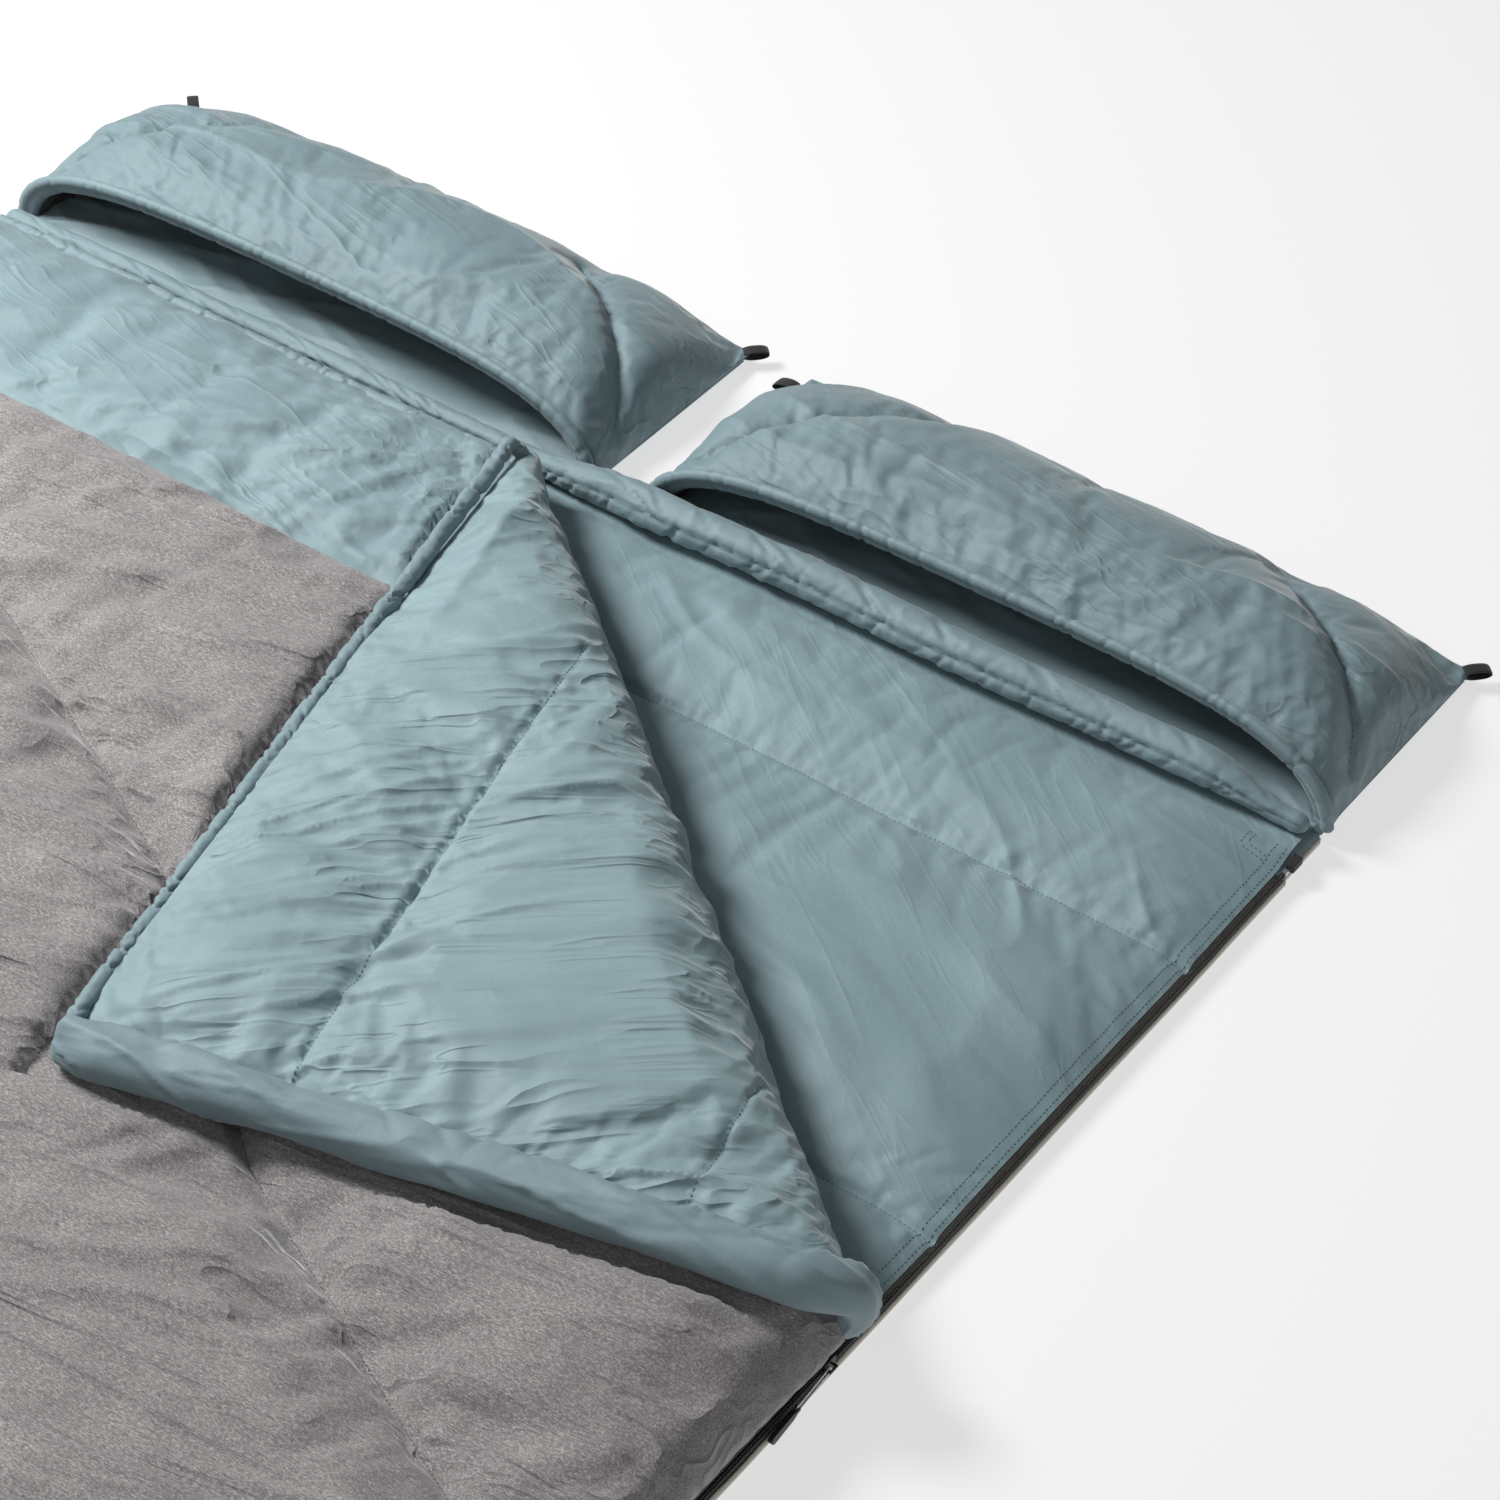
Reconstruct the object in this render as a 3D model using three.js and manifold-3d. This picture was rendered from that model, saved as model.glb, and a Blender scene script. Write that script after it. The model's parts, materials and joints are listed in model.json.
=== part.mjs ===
// A two-person quilt bag with two pillow hoods, the right head corner of its top quilt folded back.
// Millimetres, +Z up, +X towards the opened zip, +Y towards the hoods, origin under the middle of the object.
import * as THREE from "three";
import { mergeVertices } from "three/addons/utils/BufferGeometryUtils.js";
import Module from "manifold-3d";

const wasm = await Module();
wasm.setup();

// Driving dimensions
const HALF_WIDTH = 750;
const HALF_LENGTH = 1105; // half the length from the closed end to the rear loops
const FOOT_Y = -HALF_LENGTH;
const NECK_Y = 795; // seam in front of the neck roll
const HOOD_BACK_Y = 1079;
const HEAD_EDGE_Y = 775; // head edge of the top quilt
const BAND_SEAM_Y = 555; // seam between the plain head band and the jersey
const GAP = 0.3; // air between neighbouring pieces

const SKIN = 1.5; // every fabric layer
const BASE_TOP = 30; // upper face of the base lining
const TOP_UNDER = 46; // under face of the top quilt's lining
const TOP_UPPER = 86; // upper face of the top quilt
const EDGE_INSET = 12; // filling and lining stop short of the side edges here

// Fold of the top quilt's corner: from the apex on the head edge to the zip on the right side
const FOLD_APEX = new THREE.Vector2(-50, 765);
const FOLD_FOOT = new THREE.Vector2(750, 134);
const FOLD_Z = TOP_UPPER + 1;
const FOLD_CLEAR = 1.5; // the lying part and the corner both stop this short of the fold line

// Neck roll
const ROLL_RADIUS = 19;
const ROLL_Y = NECK_Y + 18;
const ROLL_HALF_LENGTH = 742;

// Hoods
const HOOD_GAP = 70; // between the two hoods
const HOOD_WIDTH = HALF_WIDTH - HOOD_GAP / 2;
const HOOD_FRONT_Y = NECK_Y + 41;
const HEM_DEPTH = 16;
const HOOD_WALL = 22; // outer, filling and inner lining together
const HOOD_SHOULDER = 75; // corner radius seen from the mouth
const HOOD_HEIGHT = 118;

// Draft tube and hems
const TUBE_RADIUS = 17.5;
const TUBE_X = HALF_WIDTH + GAP + TUBE_RADIUS;
const TUBE_Z = 62;
const HEM_RADIUS = 7;
const HEM_Z = 66;

// Webbing loops
const LOOP_LENGTH = 24;
const LOOP_WIDTH = 12;
const LOOP_THICK = 1.6;
const LOOP_EYE = 6;
const LOOP_Z = 15;

// Zips
const TEETH_X = 751.3; // middle of the teeth, from the middle of the bag
const TEETH_DEPTH = 4.4;
const TEETH_HEIGHT = 3.2;
const BASE_TEETH_Z = 15.2;
const TOP_TEETH_Z = 20.8;
const TAPE_THICK = 1;
const TAPE_TOP = 56; // the upper tape is sewn to the top quilt up to here
const ZIP_FOOT_Y = -1040;
const ZIP_HEAD_Y = 770;
const RIGHT_SLIDER_Y = 119;
const LEFT_SLIDER_Y = 752;
const SLIDER_LENGTH = 14;
const LINK_LENGTH = 44;
const TAB_LENGTH = 34;
const PULL_DROOP = THREE.MathUtils.degToRad(8);

// Materials
const material = (color, roughness, metalness = 0) =>
  new THREE.MeshStandardMaterial({ color, roughness, metalness });
const plainFabric = material(0x7e969c, 0.72);
const jersey = material(0x8c8887, 0.95);
const hoodLining = material(0x4a4646, 0.85);
const undersideFabric = material(0xb9b4aa, 0.85);
const wadding = material(0xe8e8e4, 1);
const webbing = material(0x151515, 0.8);
const zipTape = material(0x1b1b1c, 0.85);
const zipTeeth = material(0x141414, 0.4);
const steel = material(0xb9bcc0, 0.3, 1);
const blackPlastic = material(0x101010, 0.45);

const model = new THREE.Group();

// --- Solid helpers -------------------------------------------------------------------------------------------------

function toManifold(geometry) {
  const bare = geometry.clone();
  bare.deleteAttribute("normal");
  bare.deleteAttribute("uv");
  const merged = mergeVertices(bare, 1e-4);
  const vertProperties = new Float32Array(merged.attributes.position.array);
  const triVerts = new Uint32Array(merged.index.array);
  return new wasm.Manifold(new wasm.Mesh({ numProp: 3, vertProperties, triVerts }));
}

function toGeometry(solid) {
  const mesh = solid.getMesh();
  const geometry = new THREE.BufferGeometry();
  geometry.setAttribute("position", new THREE.BufferAttribute(mesh.vertProperties, 3));
  geometry.setIndex(new THREE.BufferAttribute(mesh.triVerts, 1));
  geometry.computeVertexNormals();
  return geometry;
}

function add(parent, name, geometry, look) {
  const mesh = new THREE.Mesh(geometry, look);
  mesh.name = name;
  parent.add(mesh);
  return mesh;
}

function box(x0, x1, y0, y1, z0, z1) {
  const geometry = new THREE.BoxGeometry(x1 - x0, y1 - y0, z1 - z0);
  return geometry.translate((x0 + x1) / 2, (y0 + y1) / 2, (z0 + z1) / 2);
}

// A flat sheet with the given outline in X and Y.
function slab(outline, z0, z1, bevel = 0) {
  const shape = new THREE.Shape(outline.map(([x, y]) => new THREE.Vector2(x, y)));
  const geometry = new THREE.ExtrudeGeometry(shape, {
    depth: z1 - z0 - 2 * bevel,
    bevelEnabled: bevel > 0,
    bevelSize: bevel,
    bevelOffset: -bevel,
    bevelThickness: bevel,
    bevelSegments: 2,
  });
  return geometry.translate(0, 0, z0 + bevel);
}

// A shape drawn in X and Z, extruded along Y from y0 to y1.
function extrudeAlongY(shape, y0, y1, segments = 8) {
  const geometry = new THREE.ExtrudeGeometry(shape, {
    depth: y1 - y0,
    bevelEnabled: false,
    curveSegments: segments,
  });
  return geometry.rotateX(Math.PI / 2).translate(0, y1, 0);
}

// A shape drawn in Y and Z, extruded along X from x0 to x1.
function extrudeAlongX(shape, x0, x1, segments = 8) {
  const geometry = new THREE.ExtrudeGeometry(shape, {
    depth: x1 - x0,
    bevelEnabled: false,
    curveSegments: segments,
  });
  return geometry.rotateZ(Math.PI / 2).rotateY(Math.PI / 2).translate(x0, 0, 0);
}

function circle(x, y, radius) {
  return new THREE.Shape().absarc(x, y, radius, 0, 2 * Math.PI);
}

// --- The fold ------------------------------------------------------------------------------------------------------

const foldDirection = FOLD_FOOT.clone().sub(FOLD_APEX).normalize();
const foldNormal = new THREE.Vector2(-foldDirection.y, foldDirection.x); // towards the head corner

// Where the fold line, moved by offset along its normal, crosses the given y or x.
function foldAtY(y, offset) {
  const start = FOLD_APEX.clone().addScaledVector(foldNormal, offset);
  return [start.x + ((y - start.y) * foldDirection.x) / foldDirection.y, y];
}
function foldAtX(x, offset) {
  const start = FOLD_APEX.clone().addScaledVector(foldNormal, offset);
  return [x, start.y + ((x - start.x) * foldDirection.y) / foldDirection.x];
}

// The corner's pieces are drawn lying over the base, and this group turns them half round the fold line.
const corner = new THREE.Group();
const foldAxis = new THREE.Vector3(foldDirection.x, foldDirection.y, 0);
const foldPoint = new THREE.Vector3(FOLD_APEX.x, FOLD_APEX.y, FOLD_Z);
corner.quaternion.setFromAxisAngle(foldAxis, Math.PI);
corner.position.copy(foldPoint).sub(foldPoint.clone().applyQuaternion(corner.quaternion));
model.add(corner);

// --- Base quilt ----------------------------------------------------------------------------------------------------

function baseQuilt() {
  const back = HOOD_FRONT_Y - GAP - 1;
  const outline = (inset, head) => [
    [-HALF_WIDTH + inset, FOOT_Y + inset],
    [HALF_WIDTH - inset, FOOT_Y + inset],
    [HALF_WIDTH - inset, head],
    [-HALF_WIDTH + inset, head],
  ];
  add(model, "base_outer", slab(outline(0, back), 0, SKIN), undersideFabric);
  const fillingTop = BASE_TOP - SKIN - GAP;
  add(model, "base_filling", slab(outline(EDGE_INSET, back), SKIN + GAP, fillingTop), wadding);
  const facing = { x: HALF_WIDTH - EDGE_INSET - 60, y: NECK_Y - 55 };
  const lining = outline(EDGE_INSET - 4, back);
  lining.splice(2, 1, [lining[1][0], facing.y], [facing.x, facing.y], [facing.x, back]);
  add(model, "base_lining", slab(lining, BASE_TOP - SKIN, BASE_TOP), plainFabric);
  const patch = box(facing.x + GAP, lining[1][0], facing.y + GAP, back, BASE_TOP - SKIN, BASE_TOP);
  add(model, "zip_facing_patch", patch, plainFabric);
}

function neckRoll() {
  const z = BASE_TOP + GAP + ROLL_RADIUS;
  const cover = circle(ROLL_Y, z, ROLL_RADIUS);
  cover.holes.push(circle(ROLL_Y, z, ROLL_RADIUS - SKIN));
  const core = circle(ROLL_Y, z, ROLL_RADIUS - SKIN - GAP);
  const half = ROLL_HALF_LENGTH;
  add(model, "neck_roll_cover", extrudeAlongX(cover, -half, half), plainFabric);
  add(model, "neck_roll_core", extrudeAlongX(core, -half + 4, half - 4), wadding);
}

// --- Top quilt -----------------------------------------------------------------------------------------------------

function topQuilt() {
  const shellUnder = TOP_UPPER - SKIN;
  const left = -HALF_WIDTH;
  const right = HALF_WIDTH;
  const seam = BAND_SEAM_Y;
  const band = [
    [left, seam + GAP],
    foldAtY(seam + GAP, -FOLD_CLEAR),
    foldAtY(HEAD_EDGE_Y - 12, -FOLD_CLEAR),
    [left, HEAD_EDGE_Y - 12],
  ];
  add(model, "top_outer_band", slab(band, shellUnder, TOP_UPPER), plainFabric);
  const main = [
    [left, FOOT_Y],
    [right, FOOT_Y],
    foldAtX(right, -FOLD_CLEAR),
    foldAtY(seam - GAP, -FOLD_CLEAR),
    [left, seam - GAP],
  ];
  add(model, "top_outer_jersey", slab(main, shellUnder, TOP_UPPER), jersey);
  const inner = (inset, clear) => [
    [left + inset, FOOT_Y + inset],
    [right - inset, FOOT_Y + inset],
    foldAtX(right - inset, -clear),
    foldAtY(HEAD_EDGE_Y - 12, -clear),
    [left + inset, HEAD_EDGE_Y - 12],
  ];
  const under = TOP_UNDER + SKIN + GAP;
  add(model, "top_filling", slab(inner(EDGE_INSET, 12), under, shellUnder - GAP, 6), wadding);
  add(model, "top_lining", slab(inner(EDGE_INSET - 2, 6), TOP_UNDER, TOP_UNDER + SKIN), plainFabric);
  const end = foldAtY(HEAD_EDGE_Y, -14)[0];
  const hem = extrudeAlongX(circle(HEAD_EDGE_Y - 4, HEM_Z, HEM_RADIUS), left + 4, end, 6);
  add(model, "top_head_hem", hem, plainFabric);
}

// The corner of the top quilt, drawn as it lies when closed.
function foldedCorner() {
  const shellUnder = TOP_UPPER - SKIN;
  const side = HALF_WIDTH;
  const head = HEAD_EDGE_Y;
  const seam = BAND_SEAM_Y;
  const band = [
    foldAtY(seam + GAP, FOLD_CLEAR),
    [side, seam + GAP],
    [side, head],
    foldAtY(head - 10, FOLD_CLEAR),
  ];
  add(corner, "corner_outer_band", slab(band, shellUnder, TOP_UPPER), plainFabric);
  const main = [
    foldAtX(side, FOLD_CLEAR),
    [side, seam - GAP],
    foldAtY(seam - GAP, FOLD_CLEAR),
  ];
  add(corner, "corner_outer_jersey", slab(main, shellUnder, TOP_UPPER), jersey);
  const hemInside = head - 2 * HEM_RADIUS - 1;
  const inner = (inset, clear) => [
    foldAtX(side - inset, clear),
    [side - inset, hemInside],
    foldAtY(hemInside, clear),
  ];
  const under = TOP_UNDER + SKIN + GAP;
  add(corner, "corner_filling", slab(inner(4, 8), under, shellUnder - GAP, 6), wadding);
  add(corner, "corner_lining", slab(inner(2, 4), TOP_UNDER, TOP_UNDER + SKIN), plainFabric);
  const hemStart = foldAtY(head, 14)[0];
  const hemShape = circle(head - HEM_RADIUS, HEM_Z, HEM_RADIUS);
  const hem = extrudeAlongX(hemShape, hemStart, side - 2, 6);
  add(corner, "corner_head_hem", hem, plainFabric);
  const start = foldAtX(TUBE_X, 16)[1];
  const tube = extrudeAlongY(circle(TUBE_X, TUBE_Z, TUBE_RADIUS), start, head - 2, 8);
  add(corner, "corner_draft_tube", tube, plainFabric);
  const tapeX = [side + GAP, side + 16];
  const tapeZ = [shellUnder + 0.2, shellUnder + 0.2 + TAPE_THICK];
  const tapeEnds = [start, head - 4];
  add(corner, "right_zip_corner_tape", box(...tapeX, ...tapeEnds, ...tapeZ), zipTape);
  const teethX = [tapeX[1] + GAP, tapeX[1] + GAP + TEETH_DEPTH];
  const teethZ = [shellUnder - 1.2, shellUnder - 1.2 + TEETH_HEIGHT];
  const teethEnd = head - 12;
  add(corner, "right_zip_corner_teeth", box(...teethX, start, teethEnd, ...teethZ), zipTeeth);
  const stop = box(...teethX, teethEnd + GAP, teethEnd + 6, ...teethZ);
  add(corner, "right_zip_corner_stop", stop, steel);
}

// --- Hoods ---------------------------------------------------------------------------------------------------------

// Height of a hood's outer face behind the neck seam, back to the rear seam.
const HOOD_PROFILE = [
  [41, 100],
  [75, 112],
  [115, HOOD_HEIGHT],
  [165, 110],
  [215, 87],
  [255, 62],
  [284, 32],
];

// The hood's outer form brought in by inset on every closed side, standing on floorZ.
function hoodForm(x0, x1, inset, y0, floorZ) {
  const across = new THREE.Shape();
  const radius = HOOD_SHOULDER - inset;
  const top = HOOD_HEIGHT - inset;
  across.moveTo(x0 + inset, floorZ).lineTo(x1 - inset, floorZ).lineTo(x1 - inset, top - radius);
  across.absarc(x1 - inset - radius, top - radius, radius, 0, Math.PI / 2);
  across.absarc(x0 + inset + radius, top - radius, radius, Math.PI / 2, Math.PI);
  across.closePath();
  const along = new THREE.Shape();
  along.moveTo(y0, floorZ);
  const ridge = HOOD_PROFILE.map(([y, z]) => [NECK_Y + y - inset * 0.4, z - inset]);
  along.lineTo(y0, ridge[0][1]);
  const standing = ridge.filter(([, z]) => z > floorZ);
  for (const [y, z] of standing) if (y > y0) along.lineTo(y, z);
  const last = standing.length - 1;
  const [[ya, za], [yb, zb]] = last < ridge.length - 1 ? ridge.slice(last) : ridge.slice(last - 1);
  along.lineTo(ya + ((yb - ya) * (za - floorZ)) / (za - zb), floorZ).closePath();
  const a = toManifold(extrudeAlongY(across, y0, HOOD_BACK_Y, 6));
  const b = toManifold(extrudeAlongX(along, x0, x1));
  return a.intersect(b);
}

function hood(side, x0, x1) {
  const floor = [
    [x0, HOOD_FRONT_Y],
    [x1, HOOD_FRONT_Y],
    [x1, HOOD_BACK_Y],
    [x0, HOOD_BACK_Y],
  ];
  const inset = (d) => [
    [x0 + d, HOOD_FRONT_Y],
    [x1 - d, HOOD_FRONT_Y],
    [x1 - d, HOOD_BACK_Y - d],
    [x0 + d, HOOD_BACK_Y - d],
  ];
  const node = (piece) => side + "_hood_" + piece;
  add(model, node("floor_outer"), slab(floor, 0, SKIN), plainFabric);
  const fillingTop = BASE_TOP - SKIN - GAP;
  add(model, node("floor_filling"), slab(inset(4), SKIN + GAP, fillingTop), wadding);
  add(model, node("floor_lining"), slab(inset(3), BASE_TOP - SKIN, BASE_TOP), plainFabric);

  const standing = BASE_TOP + GAP;
  const front = HOOD_FRONT_Y + HEM_DEPTH + GAP;
  const layer = (outside, inside) => {
    const cut = hoodForm(x0, x1, inside, front - 1, standing - 1);
    return toGeometry(hoodForm(x0, x1, outside, front, standing).subtract(cut));
  };
  add(model, node("top_outer"), layer(0, SKIN), plainFabric);
  add(model, node("top_filling"), layer(SKIN + GAP, HOOD_WALL - SKIN - GAP), wadding);
  add(model, node("top_lining"), layer(HOOD_WALL - SKIN, HOOD_WALL), hoodLining);

  const hemBox = toManifold(box(x0, x1, HOOD_FRONT_Y, front - GAP, standing, HOOD_HEIGHT));
  const outer = hoodForm(x0, x1, 1, HOOD_FRONT_Y, standing);
  const inner = hoodForm(x0, x1, HOOD_WALL - 1, HOOD_FRONT_Y - 1, standing - 1);
  add(model, node("mouth_hem"), toGeometry(outer.subtract(inner).intersect(hemBox)), plainFabric);
}

// A webbing loop: a folded strap with an eye, pointing away from a rear hood corner.
function webbingLoop(name, x, y, heading) {
  const length = LOOP_LENGTH;
  const radius = LOOP_EYE / 2 + LOOP_THICK;
  const strap = new THREE.Shape();
  strap.moveTo(0, -radius).lineTo(length - radius, -radius);
  strap.absarc(length - radius, 0, radius, -Math.PI / 2, Math.PI / 2);
  strap.lineTo(0, radius).closePath();
  const eye = new THREE.Path();
  const inside = LOOP_EYE / 2;
  eye.moveTo(2 * LOOP_THICK, -inside).lineTo(length - radius, -inside);
  eye.absarc(length - radius, 0, inside, -Math.PI / 2, Math.PI / 2);
  eye.lineTo(2 * LOOP_THICK, inside).closePath();
  strap.holes.push(eye);
  const geometry = new THREE.ExtrudeGeometry(strap, {
    depth: LOOP_WIDTH,
    bevelEnabled: false,
    curveSegments: 6,
  });
  geometry.translate(0, 0, -LOOP_WIDTH / 2).rotateX(Math.PI / 2);
  const mesh = add(model, name, geometry, webbing);
  mesh.rotation.z = heading;
  mesh.position.set(x, y, LOOP_Z);
}

// --- Zips ----------------------------------------------------------------------------------------------------------

// Everything sewn to one side of the bag; hand is +1 on the right and -1 on the left.
function zip(side, hand, topEndY) {
  const span = (x0, x1) => (hand > 0 ? [x0, x1] : [-x1, -x0]);
  const bar = (x0, x1, y0, y1, z0, z1) => box(...span(x0, x1), y0, y1, z0, z1);
  const teeth = [TEETH_X - TEETH_DEPTH / 2, TEETH_X + TEETH_DEPTH / 2];
  const tape = [TEETH_X - TAPE_THICK / 2, TEETH_X + TAPE_THICK / 2];
  const half = TEETH_HEIGHT / 2;
  const baseTapeTop = BASE_TEETH_Z - half - GAP;
  const topTapeFoot = TOP_TEETH_Z + half + GAP;
  const name = (piece) => side + "_zip_" + piece;
  const foot = ZIP_FOOT_Y;
  const head = ZIP_HEAD_Y;
  add(model, name("base_tape"), bar(...tape, foot, head, 2, baseTapeTop), zipTape);
  const baseTeeth = bar(...teeth, foot, head, BASE_TEETH_Z - half, BASE_TEETH_Z + half);
  add(model, name("base_teeth"), baseTeeth, zipTeeth);
  add(model, name("top_tape"), bar(...tape, foot, topEndY, topTapeFoot, TAPE_TOP), zipTape);
  const topTeeth = bar(...teeth, foot, topEndY, TOP_TEETH_Z - half, TOP_TEETH_Z + half);
  add(model, name("top_teeth"), topTeeth, zipTeeth);
  const lowZ = BASE_TEETH_Z - half;
  const highZ = TOP_TEETH_Z + half;
  const footStop = bar(...teeth, foot - 6, foot - GAP, lowZ, highZ);
  add(model, name("foot_stop"), footStop, steel);
  const stopTop = hand > 0 ? BASE_TEETH_Z + half : highZ;
  add(model, name("head_stop"), bar(...teeth, head + GAP, head + 6, lowZ, stopTop), steel);
}

// Slider, wire link and tab, drawn on the right side at y = 0 and set in a group.
function pull(side, hand, y) {
  const group = new THREE.Group();
  group.position.y = y;
  model.add(group);
  const half = SLIDER_LENGTH / 2;
  const slit = (BASE_TEETH_Z + TOP_TEETH_Z) / 2;
  const place = (geometry) => (hand > 0 ? geometry : mirrorX(geometry));

  const inner = TEETH_X - TEETH_DEPTH / 2 - 0.6;
  const outer = TEETH_X + TEETH_DEPTH / 2 + 0.6;
  const plate = 1.4;
  const bodyParts = [
    box(inner - plate, inner, -half, half, slit - 6.2, slit + 6.2),
    box(outer, outer + plate, -half, half, slit - 6.2, slit + 6.2),
    box(inner - 0.2, outer + 0.2, half - 4, half, slit - 0.9, slit + 0.9),
  ];
  for (const z of [slit - 6.2, slit + 5]) {
    bodyParts.push(box(inner - 0.2, TEETH_X - 1.1, -half, half, z, z + 1.2));
    bodyParts.push(box(TEETH_X + 1.1, outer + 0.2, -half, half, z, z + 1.2));
  }
  const arch = outer + plate;
  bodyParts.push(box(arch - 0.2, arch + 4.6, -half + 1, -half + 2.6, slit - 1, slit + 1));
  bodyParts.push(box(arch - 0.2, arch + 4.6, half - 5, half - 3.4, slit - 1, slit + 1));
  bodyParts.push(box(arch + 3, arch + 4.6, -half + 1, half - 3.4, slit - 1, slit + 1));
  const joined = bodyParts.map(toManifold).reduce((a, b) => a.add(b));
  add(group, side + "_zip_slider", place(toGeometry(joined)), blackPlastic);

  // The link is a long wire ring: its near bar runs through the arch and its far bar holds the tab.
  const wire = 0.8;
  const pivotX = arch + 1.5;
  const pivotY = -1.5;
  const ring = roundedRing(LINK_LENGTH, 7, wire * 2);
  ring.translate(0, 0, -wire).rotateY(Math.PI / 2);
  ring.rotateX(PULL_DROOP).translate(pivotX, pivotY, slit);
  add(group, side + "_zip_pull_link", place(ring), steel);

  // The tab is a moulded tongue with an eye round the link's far bar.
  const reach = LINK_LENGTH - 2 * wire;
  const tongue = new THREE.Shape();
  tongue.moveTo(-1.5, 2).lineTo(-1.5, -2).lineTo(-3.4, -7).lineTo(-4, -TAB_LENGTH + 4);
  tongue.absarc(0, -TAB_LENGTH + 4, 4, Math.PI, 2 * Math.PI);
  tongue.lineTo(3.4, -7).lineTo(1.5, -2).lineTo(1.5, 2).closePath();
  const tab = new THREE.ExtrudeGeometry(tongue, { depth: 4, bevelEnabled: false, curveSegments: 6 });
  tab.translate(0, 0, -2).rotateY(Math.PI / 2);
  const eye = new THREE.CylinderGeometry(wire + 0.6, wire + 0.6, 12, 16);
  eye.rotateX(Math.PI / 2);
  const solid = toManifold(tab).subtract(toManifold(eye));
  const tabGeometry = toGeometry(solid).translate(0, -reach, 0);
  tabGeometry.rotateX(PULL_DROOP).translate(pivotX, pivotY, slit);
  add(group, side + "_zip_pull_tab", place(tabGeometry), blackPlastic);
}

// A ring drawn in X and Y, width across X, from just above y = 0 down to -length.
function roundedRing(length, width, wire) {
  const outline = (grow) => {
    const half = width / 2 + grow;
    const corner = 2.6 + grow;
    const top = wire / 2 + grow;
    const foot = -length + wire / 2 - grow;
    return [half, corner, top, foot];
  };
  const trace = (path, [half, corner, top, foot]) => {
    path.moveTo(half, foot + corner).lineTo(half, top - corner);
    path.absarc(half - corner, top - corner, corner, 0, Math.PI / 2);
    path.absarc(-half + corner, top - corner, corner, Math.PI / 2, Math.PI);
    path.absarc(-half + corner, foot + corner, corner, Math.PI, 1.5 * Math.PI);
    path.absarc(half - corner, foot + corner, corner, 1.5 * Math.PI, 2 * Math.PI);
    path.closePath();
    return path;
  };
  const shape = trace(new THREE.Shape(), outline(0));
  shape.holes.push(trace(new THREE.Path(), outline(-wire)));
  return new THREE.ExtrudeGeometry(shape, { depth: wire, bevelEnabled: false, curveSegments: 4 });
}

function mirrorX(geometry) {
  const flipped = geometry.index ? geometry.toNonIndexed() : geometry.clone();
  flipped.scale(-1, 1, 1);
  const position = flipped.attributes.position;
  for (let i = 0; i < position.count; i += 3) {
    const a = new THREE.Vector3().fromBufferAttribute(position, i + 1);
    const b = new THREE.Vector3().fromBufferAttribute(position, i + 2);
    position.setXYZ(i + 1, b.x, b.y, b.z);
    position.setXYZ(i + 2, a.x, a.y, a.z);
  }
  flipped.computeVertexNormals();
  return flipped;
}

function tapeEnd() {
  const z = BASE_TEETH_Z;
  const x = TEETH_X;
  add(model, "right_zip_tape_end", box(x - 3, x + 5, ZIP_HEAD_Y + 8, ZIP_HEAD_Y + 24, z - 3, z + 5), webbing);
}

// --- Assembly ------------------------------------------------------------------------------------------------------

baseQuilt();
neckRoll();
topQuilt();
foldedCorner();
hood("left", -HALF_WIDTH, -HALF_WIDTH + HOOD_WIDTH);
hood("right", HALF_WIDTH - HOOD_WIDTH, HALF_WIDTH);
const loopY = HALF_LENGTH - (LOOP_LENGTH + LOOP_WIDTH / 2) * Math.SQRT1_2;
webbingLoop("left_hood_loop_outer", -HALF_WIDTH + 4, loopY, (3 * Math.PI) / 4);
webbingLoop("left_hood_loop_inner", -HOOD_GAP / 2 - 4, loopY, Math.PI / 4);
webbingLoop("right_hood_loop_inner", HOOD_GAP / 2 - GAP, HOOD_BACK_Y - 10, Math.PI);
webbingLoop("right_hood_loop_outer", HALF_WIDTH - 4, loopY, Math.PI / 4);
zip("right", 1, RIGHT_SLIDER_Y + SLIDER_LENGTH / 2);
zip("left", -1, ZIP_HEAD_Y);
tapeEnd();
pull("right", 1, RIGHT_SLIDER_Y);
pull("left", -1, LEFT_SLIDER_Y);

export default model;
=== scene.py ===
import json
import math

import bpy
import numpy as np
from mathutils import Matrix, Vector, geometry
from mathutils.bvhtree import BVHTree
from mathutils.kdtree import KDTree


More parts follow.
